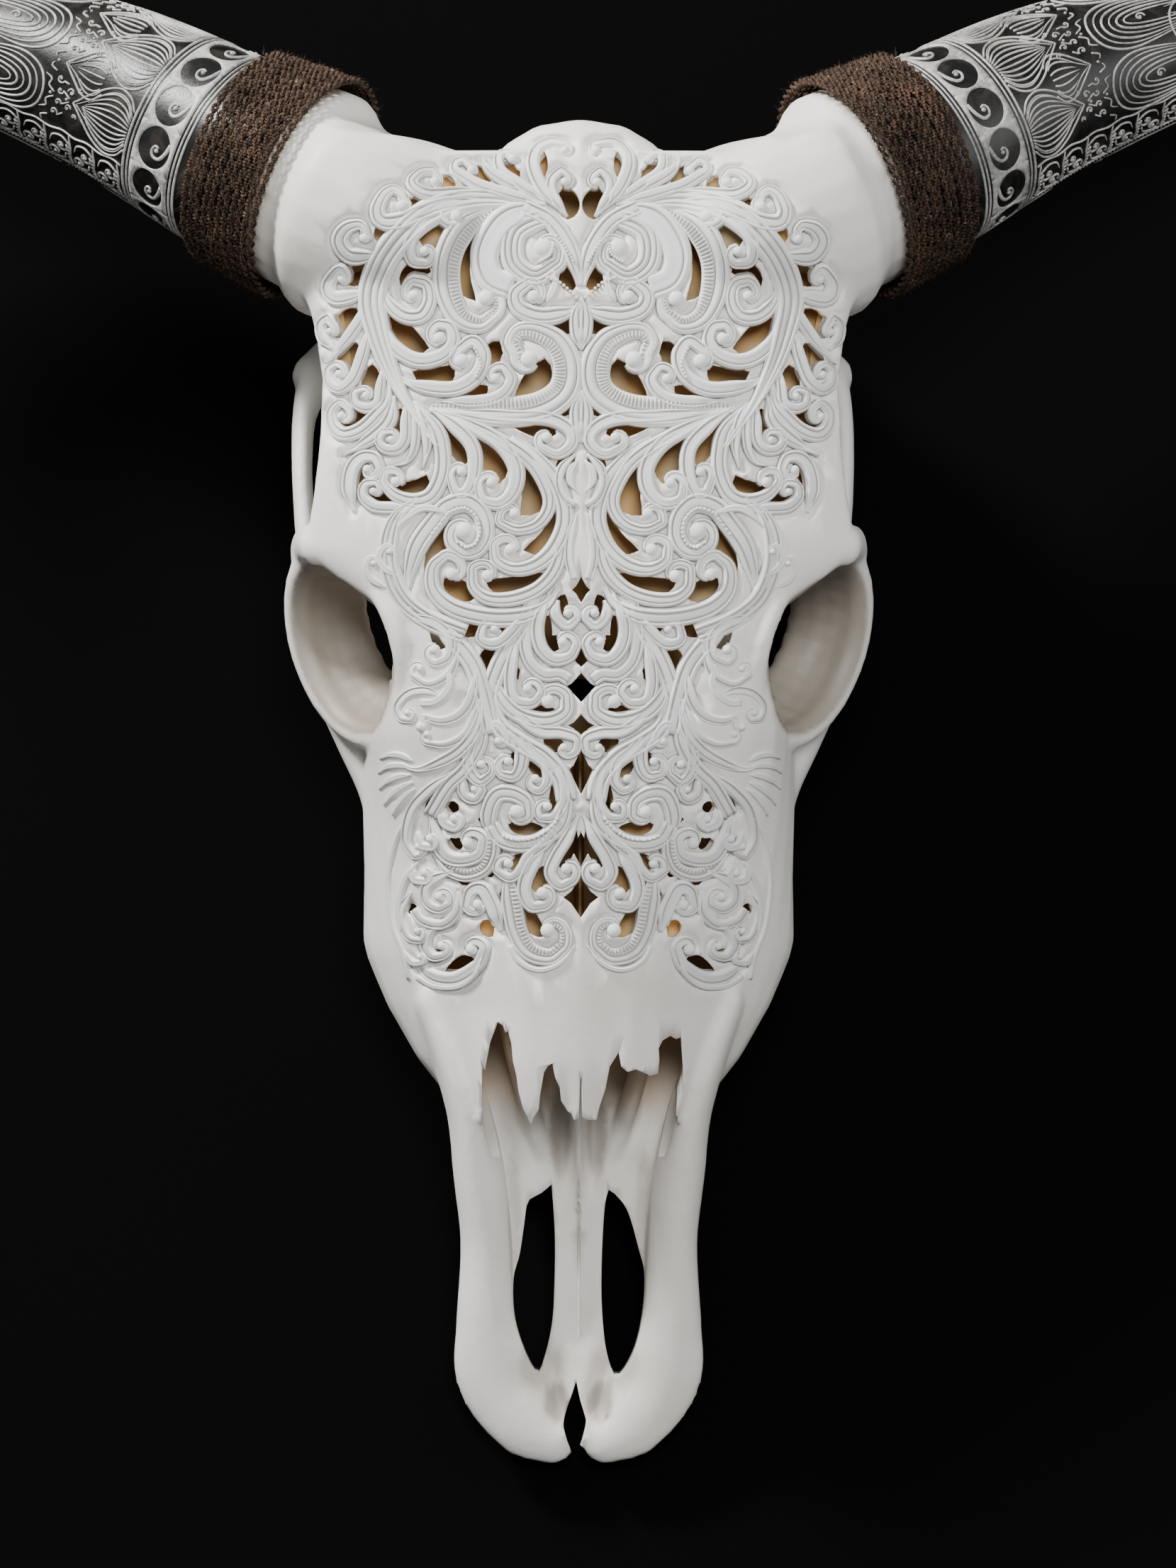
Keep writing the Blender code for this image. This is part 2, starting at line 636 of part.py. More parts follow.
def jaw_socket_cutter(collection):
    """One long socket a side that takes the six tooth roots."""
    mesh = bmesh.new()
    places = tooth_places()
    front_x, front_y, front_length, _ = places[0]
    back_x, back_y, back_length, _ = places[-1]
    line = [(front_x, front_y - front_length / 2 - 1.5)]
    line += [(x, y) for x, y, _, _ in places]
    line += [(back_x, back_y + back_length / 2 + 1.5)]
    for side in (1.0, -1.0):
        rings = []
        for x, y in line:
            half = JAW_SOCKET_WIDTH / 2 - (3.0 if y < places[1][1] else 0.0)
            rings.append([
                (side * (x - half), y, -5.0), (side * (x + half), y, -5.0),
                (side * (x + half - 2), y, SOCKET_ROOF), (side * (x - half + 2), y, SOCKET_ROOF),
            ])
        skin_rings(mesh, rings)
    bmesh.ops.recalc_face_normals(mesh, faces=mesh.faces)
    data = bpy.data.meshes.new("jaw_sockets")
    mesh.to_mesh(data)
    mesh.free()
    cutter = bpy.data.objects.new("jaw_sockets", data)
    collection.objects.link(cutter)
    return cutter


def make_skull(parts, cutters, finish, lying):
    """The bone, hollowed, thinned to few faces, pierced, and set on the table."""
    bone = bone_outside(parts)
    hollows = bone_hollows(cutters)
    boolean(bone, hollows, "DIFFERENCE")
    fine = bone_fine_parts(cutters)
    joined = bmesh.new()
    joined.from_mesh(bone.data)
    joined.from_mesh(fine.data)
    joined.to_mesh(bone.data)
    joined.free()
    bpy.data.objects.remove(fine, do_unlink=True)
    remesh = bone.modifiers.new("press", "REMESH")
    remesh.mode = "VOXEL"
    remesh.voxel_size = VOXEL * MM
    settle(bone)
    keep_largest(bone)
    thin_out(bone, BONE_TRIANGLES)
    boolean(bone, piercing_cutters(cutters), "DIFFERENCE")
    bone.name = "skull"
    bone.data.name = "skull"
    bone.parent = lying
    bpy.context.view_layer.update()
    boolean(bone, jaw_socket_cutter(cutters), "DIFFERENCE")
    keep_largest(bone)
    bone.data.materials.clear()
    bone.data.materials.append(finish)
    for cutter in cutters.objects:
        as_cutter(cutter)


def keep_largest(obj):
    """Drops crumbs that hang free of the main body."""
    mesh = bmesh.new()
    mesh.from_mesh(obj.data)
    mesh.verts.ensure_lookup_table()
    group = [-1] * len(mesh.verts)
    groups = []
    for seed in mesh.verts:
        if group[seed.index] >= 0:
            continue
        found, waiting = [], [seed]
        group[seed.index] = len(groups)
        while waiting:
            vert = waiting.pop()
            found.append(vert)
            for edge in vert.link_edges:
                other = edge.other_vert(vert)
                if group[other.index] < 0:
                    group[other.index] = len(groups)
                    waiting.append(other)
        groups.append(found)
    groups.sort(key=len)
    for found in groups[:-1]:
        bmesh.ops.delete(mesh, geom=found, context="VERTS")
    mesh.to_mesh(obj.data)
    mesh.free()


def foot_radius(distance):
    """Radius of bone neck and horn under the cord, at a distance from the foot."""
    return FOOT_RADIUS - FOOT_TAPER * distance


def horn_rings(rows, side):
    """Rings of points round a line of x, y, z and radius."""
    points = [Vector(row[:3]) for row in rows]
    rings = []
    across = HORN_WAY.cross(Vector((0, 0, 1))).normalized()
    for index, row in enumerate(rows):
        before = points[max(index - 1, 0)]
        after = points[min(index + 1, len(points) - 1)]
        way = (after - before).normalized()
        across = (across - way * across.dot(way)).normalized()
        up = across.cross(way)
        ring = []
        for step in range(HORN_SIDES):
            angle = 2 * math.pi * step / HORN_SIDES
            point = points[index] + float(row[3]) * (math.cos(angle) * across + math.sin(angle) * up)
            ring.append((side * point.x, point.y, point.z))
        rings.append(ring)
    return rings


def make_horn(side, name, collection, finish, lying):
    """The horn sheath: a curved cone with a socket for the bone core at its foot."""
    cord_end = CORD_TURNS * CORD_PITCH
    straight = []
    for distance in (HORN_STARTS, cord_end):
        point = HORN_FOOT + HORN_WAY * distance
        straight.append((*point, foot_radius(distance)))
    outer = np.array([*straight, *HORN_LINE, (*HORN_TIP, 1.2)])
    outer = [tuple(row) for row in smooth_line(outer, 13)]
    socket = []
    for distance, radius in ((90, 5), (80, 11), (52, 23.5), (HORN_STARTS, 30.5)):
        point = HORN_FOOT + HORN_WAY * distance
        socket.append((*point, radius + SOCKET_CLEARANCE))
    outer_rings = horn_rings(outer, side)
    inner_rings = horn_rings(socket[::-1], side)[::-1]
    mesh = bmesh.new()
    skin_rings(mesh, inner_rings + outer_rings)
    bmesh.ops.recalc_face_normals(mesh, faces=mesh.faces)
    data = bpy.data.meshes.new(name)
    mesh.to_mesh(data)
    mesh.free()
    horn = bpy.data.objects.new(name, data)
    horn.data.materials.append(finish)
    horn.data.shade_smooth()
    collection.objects.link(horn)
    horn.parent = lying


def make_cord(side, name, collection, finish, lying):
    """The cord wound in close turns from the boss on to the horn."""
    across = HORN_WAY.cross(Vector((0, 0, 1))).normalized()
    up = across.cross(HORN_WAY)
    curve = bpy.data.curves.new(name, "CURVE")
    curve.dimensions = "3D"
    curve.bevel_depth = CORD_THICKNESS / 2 * MM
    curve.bevel_resolution = 0
    curve.use_fill_caps = True
    count = CORD_TURNS * CORD_SEGMENTS + 1
    spline = curve.splines.new("POLY")
    spline.points.add(count - 1)
    for index in range(count):
        turns = index / CORD_SEGMENTS
        distance = 2.2 + turns * CORD_PITCH
        radius = foot_radius(distance) + CORD_CLEARANCE + CORD_THICKNESS / 2
        angle = 2 * math.pi * turns
        point = HORN_FOOT + HORN_WAY * distance
        point = point + radius * (math.cos(angle) * across + math.sin(angle) * up)
        spline.points[index].co = (side * point.x * MM, point.y * MM, point.z * MM, 1.0)
    cord = bpy.data.objects.new(name, curve)
    cord.data.materials.append(finish)
    collection.objects.link(cord)
    cord.parent = lying


def main():
    clear_scene()
    parts = new_collection("carved_cow_skull")
    cutters = new_collection("cutters")
    lying = bpy.data.objects.new("lying", None)
    lying.matrix_world = tipping_matrix()
    parts.objects.link(lying)
    bone = material("bone_white", BONE_WHITE, 0.55)
    horn = material("horn_black", HORN_BLACK, 0.22)
    cord = material("cord_brown", CORD_BROWN, 0.95)
    ivory = material("tooth_ivory", TOOTH_IVORY, 0.45)
    make_skull(parts, cutters, bone, lying)
    for side, word in ((1.0, "right"), (-1.0, "left")):
        make_horn(side, f"horn_{word}", parts, horn, lying)
        make_cord(side, f"rope_{word}", parts, cord, lying)
    make_teeth(parts, ivory)
    bpy.context.view_layer.update()


main()
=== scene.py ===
# %% [markdown]
# # A carved cow skull
# The object is a cow skull that lies face up on its cheek teeth. Its white bone is pierced and
# carved with scrollwork from the poll down to the nose, its black horns are engraved, and a brown
# twisted cord is wound round the foot of each horn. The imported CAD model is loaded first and
# stays as it is: every piece made here replaces one of its nodes and stays inside it.

# %% The frame
import math

import bmesh
import bpy
import numpy as np
from mathutils import Matrix, Vector
from mathutils.bvhtree import BVHTree
from mathutils.kdtree import KDTree


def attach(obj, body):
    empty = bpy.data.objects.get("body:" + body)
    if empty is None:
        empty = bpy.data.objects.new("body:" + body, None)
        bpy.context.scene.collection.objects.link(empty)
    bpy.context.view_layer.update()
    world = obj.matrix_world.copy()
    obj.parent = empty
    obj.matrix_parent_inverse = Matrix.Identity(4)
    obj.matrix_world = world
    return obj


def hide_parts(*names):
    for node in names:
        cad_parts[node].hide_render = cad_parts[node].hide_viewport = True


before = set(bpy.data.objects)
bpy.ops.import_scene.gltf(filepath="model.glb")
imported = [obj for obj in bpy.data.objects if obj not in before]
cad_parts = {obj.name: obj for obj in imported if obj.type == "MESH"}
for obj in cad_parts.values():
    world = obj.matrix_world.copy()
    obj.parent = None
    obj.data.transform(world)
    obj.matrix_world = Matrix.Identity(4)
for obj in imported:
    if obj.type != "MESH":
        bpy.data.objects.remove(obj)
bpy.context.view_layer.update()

# %% [markdown]
# ## The skull's own frame
# All forms are drawn in millimetres in the skull's own frame, as the CAD source draws them: x
# across, y from the nose tip up to the poll, z out of the forehead. The skull is tipped nose down
# until its teeth stand flat on the table, and one matrix does that for every piece.

# %% From the skull's frame to the table
MM = 0.001
TIP_ANGLE = math.radians(12.0)
TABLE_DROP = 86.0
ORIGIN_Y = 274.3
LYING = (
    Matrix.Translation(Vector((0.0, -ORIGIN_Y, TABLE_DROP * math.cos(TIP_ANGLE))) * MM)
    @ Matrix.Rotation(TIP_ANGLE, 4, "X")
    @ Matrix.Scale(MM, 4)
)
PARTS = bpy.data.collections.new("dressed_skull")
bpy.context.scene.collection.children.link(PARTS)


def lay_down(points):
    """Rows of skull millimetres as rows of table metres."""
    turn = np.array(LYING.to_3x3())
    return np.asarray(points, float) @ turn.T + np.array(LYING.translation)


print("the nose tip lies at", lay_down([(0, 0, -73)])[0].round(4))

# %% [markdown]
# ## The camera
# The photograph looks square on to the forehead, from far away and a touch from the left. The
# camera is placed in the skull's frame, so that it keeps that angle: it hangs over the table and
# leans 12 degrees towards the nose. Its lens follows from how much of the forehead's plane the
# picture shows, which is surer than trying lenses until one fits.

# %% The camera
AIM = Vector((2.3, 232.9, 0.0))  # the middle of the picture, on the plane of the forehead
DISTANCE = 1800.0
FROM_LEFT = math.radians(0.8)
PICTURE_HEIGHT = 537.7  # of that plane, seen from top to bottom of the picture
away = Vector((-math.sin(FROM_LEFT), 0.0, math.cos(FROM_LEFT)))
across = Vector((math.cos(FROM_LEFT), 0.0, math.sin(FROM_LEFT)))
lens = bpy.data.cameras.new("camera")
lens.sensor_fit = "VERTICAL"
lens.sensor_height = 24.0
lens.lens = lens.sensor_height * DISTANCE / PICTURE_HEIGHT
lens.clip_end = 20.0
camera = bpy.data.objects.new("camera", lens)
bpy.context.scene.collection.objects.link(camera)
axes = Matrix((across, (0.0, 1.0, 0.0), away)).transposed().to_4x4()
turned = LYING.to_3x3().normalized().to_4x4() @ axes
camera.matrix_world = Matrix.Translation(LYING @ (AIM + DISTANCE * away)) @ turned
bpy.context.scene.camera = camera
print("camera at", [round(v, 3) for v in camera.matrix_world.translation])

# %% [markdown]
# ## Shader maths in plain Python
# Each finish is a small formula over noise and over values painted on the mesh. A socket is
# wrapped in a class that knows plus, minus and times, so that a formula reads as one, and a
# second class keeps the nodes of one material.

# %% Sockets that can be added and multiplied
class Value:
    """A number that changes over the surface: the output socket of a node."""

    def __init__(self, shader, socket):
        self.shader = shader
        self.socket = socket

    def maths(self, operation, *others):
        """A Math node on this value and others."""
        return self.shader.node("ShaderNodeMath", {"operation": operation}, [self, *others])

    def __add__(self, other):
        return self.maths("ADD", other)

    def __sub__(self, other):
        return self.maths("SUBTRACT", other)

    def __mul__(self, other):
        return self.maths("MULTIPLY", other)

    def __rsub__(self, other):
        return (self * -1.0) + other

    __radd__ = __add__
    __rmul__ = __mul__

    def power(self, exponent):
        return self.maths("POWER", exponent)

    def step(self, low, high):
        """0 below low, 1 above high, and a smooth rise between them."""
        settings = {"interpolation_type": "SMOOTHSTEP"}
        return self.shader.node("ShaderNodeMapRange", settings, {0: self, 1: low, 2: high})


class Finish:
    """One material, with the Principled shader that all its values end in."""

    def __init__(self, name, **constants):
        self.material = bpy.data.materials.new(name)
        self.material.use_nodes = True
        self.tree = self.material.node_tree
        self.shader = self.tree.nodes["Principled BSDF"]
        for socket, value in constants.items():
            self.shader.inputs[socket.replace("_", " ")].default_value = value

    def node(self, kind, settings, inputs, output=0):
        """A new node: its settings are set first, then its sockets by name or number."""
        made = self.tree.nodes.new(kind)
        for key, value in settings.items():
            setattr(made, key, value)
        pairs = inputs.items() if isinstance(inputs, dict) else enumerate(inputs)
        for key, value in pairs:
            self.feed(made.inputs[key], value)
        return Value(self, made.outputs[output])

    def feed(self, socket, value):
        """Links a value to a socket, or sets a constant on it."""
        if isinstance(value, Value):
            self.tree.links.new(value.socket, socket)
        else:
            socket.default_value = value

    def painted(self, name):
        """A value painted on the mesh's vertices."""
        return self.node("ShaderNodeAttribute", {"attribute_name": name}, {}, "Fac")

    def noise(self, scale, detail, rough, twist=0.0):
        """Noise that is fixed to the object."""
        inputs = {
            "Vector": self.node("ShaderNodeTexCoord", {}, {}, "Object"), "Scale": scale,
            "Detail": detail, "Roughness": rough, "Distortion": twist,
        }
        return self.node("ShaderNodeTexNoise", {}, inputs)

    def mix(self, share, first, second):
        """From the first colour to the second by a share from 0 to 1."""
        return self.node(
            "ShaderNodeMix", {"data_type": "RGBA"}, {0: share, 6: first, 7: second}, 2
        )

    def bump(self, height, distance, strength):
        inputs = {"Height": height, "Distance": distance, "Strength": strength}
        return self.node("ShaderNodeBump", {}, inputs)

    def ends(self, **sockets):
        """Feeds the shader and gives back the finished material."""
        for socket, value in sockets.items():
            self.feed(self.shader.inputs[socket.replace("_", " ")], value)
        print("finish", self.material.name, "has", len(self.tree.nodes), "nodes")
        return self.material

# %% [markdown]
# ## Floor and light
# White bone stands out on a plain black floor that gives back almost no light. A small strong
# panel from the upper left draws the edges of the carving, a large one overhead fills the
# forehead, and a weak one from the right keeps the shadows open. Panels are chosen over a sun
# because their soft edges round the bone.

# %% Floor and light
floor_mesh = bpy.data.meshes.new("floor")
FLOOR_SIZE = 6.0
corners = [(x * FLOOR_SIZE, y * FLOOR_SIZE, 0.0) for x, y in ((-1, -1), (1, -1), (1, 1), (-1, 1))]
floor_mesh.from_pydata(corners, [], [(0, 1, 2, 3)])
floor = bpy.data.objects.new("floor", floor_mesh)
bpy.context.scene.collection.objects.link(floor)
floor_finish = Finish("dark_floor", Roughness=0.95, Base_Color=(0.003, 0.003, 0.003, 1.0))
floor_finish.shader.inputs["Specular IOR Level"].default_value = 0.0
floor_mesh.materials.append(floor_finish.ends())


def soft_panel(name, place, size, watts):
    """A square light panel that faces the middle of the skull."""
    panel = bpy.data.lights.new(name, "AREA")
    panel.size = size
    panel.energy = watts
    lamp = bpy.data.objects.new(name, panel)
    lamp.location = place
    lamp.rotation_euler = (-lamp.location).to_track_quat("-Z", "Y").to_euler()
    bpy.context.scene.collection.objects.link(lamp)


soft_panel("key_panel", (-1.15, 1.3, 0.95), 0.32, 76.0)
soft_panel("front_panel", (0.15, 0.1, 2.2), 0.6, 31.0)
soft_panel("fill_panel", (1.6, 0.2, 1.0), 1.0, 7.0)
sky = bpy.data.worlds.new("studio")
sky.use_nodes = True
sky.node_tree.nodes["Background"].inputs["Color"].default_value = (0.84, 0.86, 0.90, 1.0)
sky.node_tree.nodes["Background"].inputs["Strength"].default_value = 0.24
bpy.context.scene.world = sky

# %% [markdown]
# ## Modelling bone
# A skull has no straight line in it. It can be sculpted by hand, but a script can't sculpt, so
# it heaps up simple closed shapes as a modeller heaps clay: skins over outlines, and chains of
# balls along smooth lines. A voxel remesh then presses the heap into one closed skin, and a
# second heap, of all that is empty inside, is cut away from the first.

# %% Where things sit, and smooth lines
VOXEL = 1.5  # grain of the modelled bone, in millimetres
PRESSED_TRIANGLES = 90000  # what each heap keeps while the bone is put together
EYE = Vector((80.0, 282.0, -40.0))  # middle of the right eye's rim, and the way it faces
EYE_ALONG = Vector((0.33, 0.944, 0.0))
EYE_UP = Vector((-0.465, 0.163, 0.870))
EYE_WAY = EYE_ALONG.cross(EYE_UP)
HORN_FOOT = Vector((91.0, 441.0, -47.0))
HORN_WAY = Vector((0.840, 0.407, -0.356)).normalized()
FOOT_RADIUS = 37.6
FOOT_TAPER = 0.07
ARCH_INSET = 3.5  # the right cheek arch lies this much closer in than the left


def numbers(text):
    """Rows of numbers from a text such as 1,2 3,4."""
    return [tuple(map(float, pair.split(","))) for pair in text.split()]


def smooth_line(points, count):
    """A smooth line through rows of numbers, read off at evenly spaced places. The first three
    numbers of a row are its x, y and z."""
    rows = np.array(points, float)
    ends = np.vstack([2 * rows[0] - rows[1], rows, 2 * rows[-1] - rows[-2]])
    fine = []
    for i in range(len(rows) - 1):
        a, b, c, d = ends[i : i + 4]
        for t in np.linspace(0.0, 1.0, 12, endpoint=False):
            square, cube = 2 * a - 5 * b + 4 * c - d, 3 * b - a - 3 * c + d
            fine.append(0.5 * (2 * b + (c - a) * t + square * t**2 + cube * t**3))
    fine = np.array(fine + [rows[-1]])
    steps = np.linalg.norm(np.diff(fine[:, :3], axis=0), axis=1)
    along = np.concatenate([[0.0], np.cumsum(steps)])
    wanted = np.linspace(0.0, along[-1], count)
    return np.stack([np.interp(wanted, along, column) for column in fine.T], axis=1)

# %% A heap of clay
def unit_ball(around=12, tall=8):
    """Points and faces of a ball of radius 1."""
    ball = bmesh.new()
    bmesh.ops.create_uvsphere(ball, u_segments=around, v_segments=tall, radius=1.0)
    ball.verts.index_update()
    points = np.array([vert.co for vert in ball.verts])
    faces = [[vert.index for vert in face.verts] for face in ball.faces]
    ball.free()
    return points, faces


class Clay:
    """A heap of closed shapes in the skull's frame, pressed into one surface by a voxel remesh."""

    ball_points, ball_faces = unit_ball()

    def __init__(self, name):
        self.name = name
        self.points = []
        self.faces = []

    def add(self, points, faces, both):
        """Takes in a closed shape in millimetres, and its mirror image if both is set."""
        for side in (1, -1) if both else (1,):
            start = len(self.points)
            self.points += [(side * x, y, z) for x, y, z in points]
            self.faces += [[start + i for i in face[::side]] for face in faces]

    def add_rings(self, rings, both):
        """Takes in a skin over rings of points, closed at its ends."""
        around = len(rings[0])
        faces = [list(range(around))[::-1]]
        for row in range(len(rings) - 1):
            for i in range(around):
                j = (i + 1) % around
                low, high = row * around, (row + 1) * around
                faces.append([low + i, low + j, high + j, high + i])
        last = (len(rings) - 1) * around
        faces.append(list(range(last, last + around)))
        self.add([point for ring in rings for point in ring], faces, both)

    def loft(self, table, around=20, spacing=6.0):
        """A body across the midline. Each line of the table is a y and half an outline in x and
        z, from the top middle round the right side to the bottom middle."""
        stations = [row.split(":") for row in table.strip().split("\n")]
        ys = [float(y) for y, _ in stations]
        halves = np.array([
            smooth_line([(x, 0.0, z) for x, z in numbers(half)], around)[:, (0, 2)].ravel()
            for _, half in stations
        ])
        wanted = np.arange(ys[0], ys[-1] + 0.5 * spacing, spacing)
        halves = np.stack([np.interp(wanted, ys, column) for column in halves.T], axis=1)
        rings = []
        for y, half in zip(wanted, halves.reshape(len(wanted), -1, 2)):
            right = [(x, y, z) for x, z in half]
            left = [(-x, y, z) for x, z in half[-2:0:-1]]
            rings.append(right + left)
        self.add_rings(rings, both=False)

    def lump(self, centre, radii, both=False):
        """An ellipsoid, on both sides of the midline if both is set."""
        self.add(self.ball_points * np.array(radii) + np.array(centre), self.ball_faces, both)

    def chain(self, points, both=True, spacing=3.5):
        """Ellipsoids close together along a smooth line of x, y, z and their three radii."""
        rows = np.array(points, float)
        length = np.linalg.norm(np.diff(rows[:, :3], axis=0), axis=1).sum()
        for row in smooth_line(rows, max(3, round(length / spacing))):
            self.lump(row[:3], row[3:], both)

    def turned(self, start, way, profile, sides=24):
        """A round body along a straight line, from rows of distance, radius and the highest y
        that it may reach."""
        across = way.cross(Vector((0, 0, 1))).normalized()
        up = across.cross(way)
        rings = []
        for distance, radius, ceiling in profile:
            ring = []
            for step in range(sides):
                angle = 2 * math.pi * step / sides
                point = start + way * distance
                x, y, z = point + radius * (math.cos(angle) * across + math.sin(angle) * up)
                ring.append((x, min(y, ceiling), z))
            rings.append(ring)
        self.add_rings(rings, both=True)

    def press(self, smooth=2):
        """The heap as one smooth closed object, still in millimetres."""
        data = bpy.data.meshes.new(self.name)
        data.from_pydata(self.points, [], self.faces)
        heap = bpy.data.objects.new(self.name, data)
        PARTS.objects.link(heap)
        remesh = heap.modifiers.new("press", "REMESH")
        remesh.mode = "VOXEL"
        remesh.voxel_size = VOXEL
        soften = heap.modifiers.new("soften", "SMOOTH")
        soften.factor = 0.5
        soften.iterations = smooth
        settle(heap)
        thin_out(heap, PRESSED_TRIANGLES)
        return heap

# %% Modifiers made part of a mesh
def settle(obj):
    """The object's modifiers made part of its mesh."""
    graph = bpy.context.evaluated_depsgraph_get()
    baked = bpy.data.meshes.new_from_object(obj.evaluated_get(graph))
    baked.name = obj.name
    obj.modifiers.clear()
    obj.data = baked
    return obj


def thin_out(obj, triangles):
    """Brings a mesh down to about this many triangles."""
    present = sum(len(face.vertices) - 2 for face in obj.data.polygons)
    if present <= triangles:
        return
    thin = obj.modifiers.new("thin", "DECIMATE")
    thin.ratio = triangles / present
    settle(obj)


def cut_away(target, other, crossing=False):
    """Takes one closed mesh away from another, whose own bodies may cross each other."""
    cut = target.modifiers.new("cut", "BOOLEAN")
    cut.use_self = crossing
    cut.object = other
    cut.operation = "DIFFERENCE"
    cut.solver = "EXACT"
    settle(target)
    bpy.data.objects.remove(other, do_unlink=True)

# %% [markdown]
# ## The outer form
# The face is a long wedge and the forehead a thick flat plate, so both are skins over outlines
# that were read off a cow's skull: half an outline every two or three centimetres. Braincase, ear
# region and cheek are rounder and are heaped from balls. The boss of the horn is turned, because
# the cord needs a round neck to lie on.

# %% The outer form
def bone_outside():
    """The filled outer form: face, forehead, horn bosses, braincase, nape and skull base."""
    clay = Clay("bone")
    # Face, from the nasal opening to behind the eyes.
    clay.loft("""
        112: 0,-24.5 18,-26.5 29,-33 37,-49 42,-66 43,-80 37,-88 20,-87 0,-85
        118: 0,-23 18,-25 30,-32 38,-48 43,-66 44,-80 38,-89 20,-88 0,-86
        135: 0,-19 20,-21 32,-29 44,-45 56,-62 56,-80 46,-93 20,-91 0,-89
        155: 0,-15.5 20,-18 34,-27 50,-42 66,-60 68,-76 56,-94 40,-99 18,-95 0,-93
        175: 0,-12 22,-15 38,-24 57,-40 72,-58 77,-74 66,-94 48,-104 20,-100 0,-97
        200: 0,-8 24,-11 42,-20 61,-36 73,-54 76.5,-72 70,-94 54,-109 24,-106 0,-103
        225: 0,-4.5 28,-7 48,-15 65,-30 74,-50 77,-72 71,-96 57,-115 26,-112 0,-109
        250: 0,-2 32,-4 54,-10 68,-22 74,-42 76,-68 70,-96 57,-120 30,-118 0,-115
        266: 0,-1.3 34,-3 56,-8.5 67,-18 70,-40 72,-64 62,-92 50,-118 28,-120 0,-117
        280: 0,-1 34,-2.5 57,-8 66,-16 66,-40 64,-62 50,-90 36,-108 24,-122 0,-122
        302: 0,0 34,-1.5 60,-7 70,-14 60,-34 48,-60 36,-88 26,-108 18,-126 0,-130
    """)
    # Forehead, a thick plate that overhangs the temples.
    clay.loft("""
        290: 0,0 34,-1.5 58,-7 66,-14 60,-26 30,-32 0,-34
        313: 0,0 40,-1 72,-7 96,-16 96,-24 80,-31 50,-36 0,-40
        335: 0,0 40,-1 72,-6 92,-14 92,-22 78,-31 50,-38 0,-42
        356: 0,-0.5 40,-1.5 70,-6 89,-14 89,-24 76,-35 50,-42 0,-46
        375: 0,-1.5 40,-2.5 70,-7 88,-15 89,-27 76,-39 50,-46 0,-50
        395: 0,-2.5 40,-3.5 72,-8 91,-17 92,-32 78,-46 50,-52 0,-55
        415: 0,-4 42,-5 76,-9 98,-19 99,-40 84,-56 50,-60 0,-62
        432: 0,-6 42,-7 76,-11 97,-21 97,-44 82,-60 50,-64 0,-66
        446: 0,-9 42,-10 72,-14 90,-24 88,-46 72,-60 46,-64 0,-66
        454.5: 0,-13 42,-14 66,-18 79,-28 76,-44 60,-54 38,-58 0,-60
    """)
    clay.lump((0, 446, -27), (31, 18.5, 15))
    # Braincase, nape and skull base.
    clay.lump((0, 372, -80), (52, 66, 46))
    clay.loft("""
        392: 0,-30 30,-34 46,-50 53,-76 51,-102 38,-126 18,-140 0,-142
        425: 0,-30 36,-34 56,-50 65,-74 66,-100 50,-122 22,-138 0,-140
        440: 0,-30 42,-36 58,-50 65,-74 67,-99 52,-118 22,-132 0,-134
        447: 0,-34 38,-40 52,-52 58,-76 58,-97 44,-112 20,-125 0,-128
    """)
    clay.chain((
        (0, 296, -124, 17, 10, 12), (0, 340, -132, 18, 10, 13), (0, 400, -132, 24, 10, 12),
    ), both=False)
    clay.lump((67, 411, -101), (12, 21, 18), both=True)
    # The boss that carries the horn, a neck under the cord, and the core inside the horn.
    clay.turned(HORN_FOOT, HORN_WAY, (
        (-66, 24, 457), (-48, 33, 457), (-28, 39, 457), (-16, 41.5, 458), (-10.5, 41.5, 459),
        (-7, 39.0, 462), (-3, 36.4, 464), (-1.5, FOOT_RADIUS - 1.4, 500),
        (9.5, FOOT_RADIUS - 1.6, 500),
        (11.0, 27, 500), (50, 20, 500), (74, 7, 500), (78, 3, 500),
    ))
    # Cheek: the swelling over the tooth roots, and the malar bone below the eye.
    clay.lump((62, 178, -76), (13, 26, 16), both=True)
    clay.chain((
        (60, 205, -74, 14, 16, 14), (67, 232, -74, 12, 14, 14),
        (78, 252, -76, 10, 12, 13), (88, 270, -79, 8, 10, 11), (93, 288, -82, 6, 9, 10),
    ))
    return clay.press(smooth=6)

# %% [markdown]
# ## What is empty inside
# A cow's forehead and face are thin plates over wide air spaces, and the drilled holes look right
# into them. So the hollows are shapes of their own, a few millimetres inside the skin, and not a
# shell of even thickness: the plate is thin over the face and thick at the bosses.

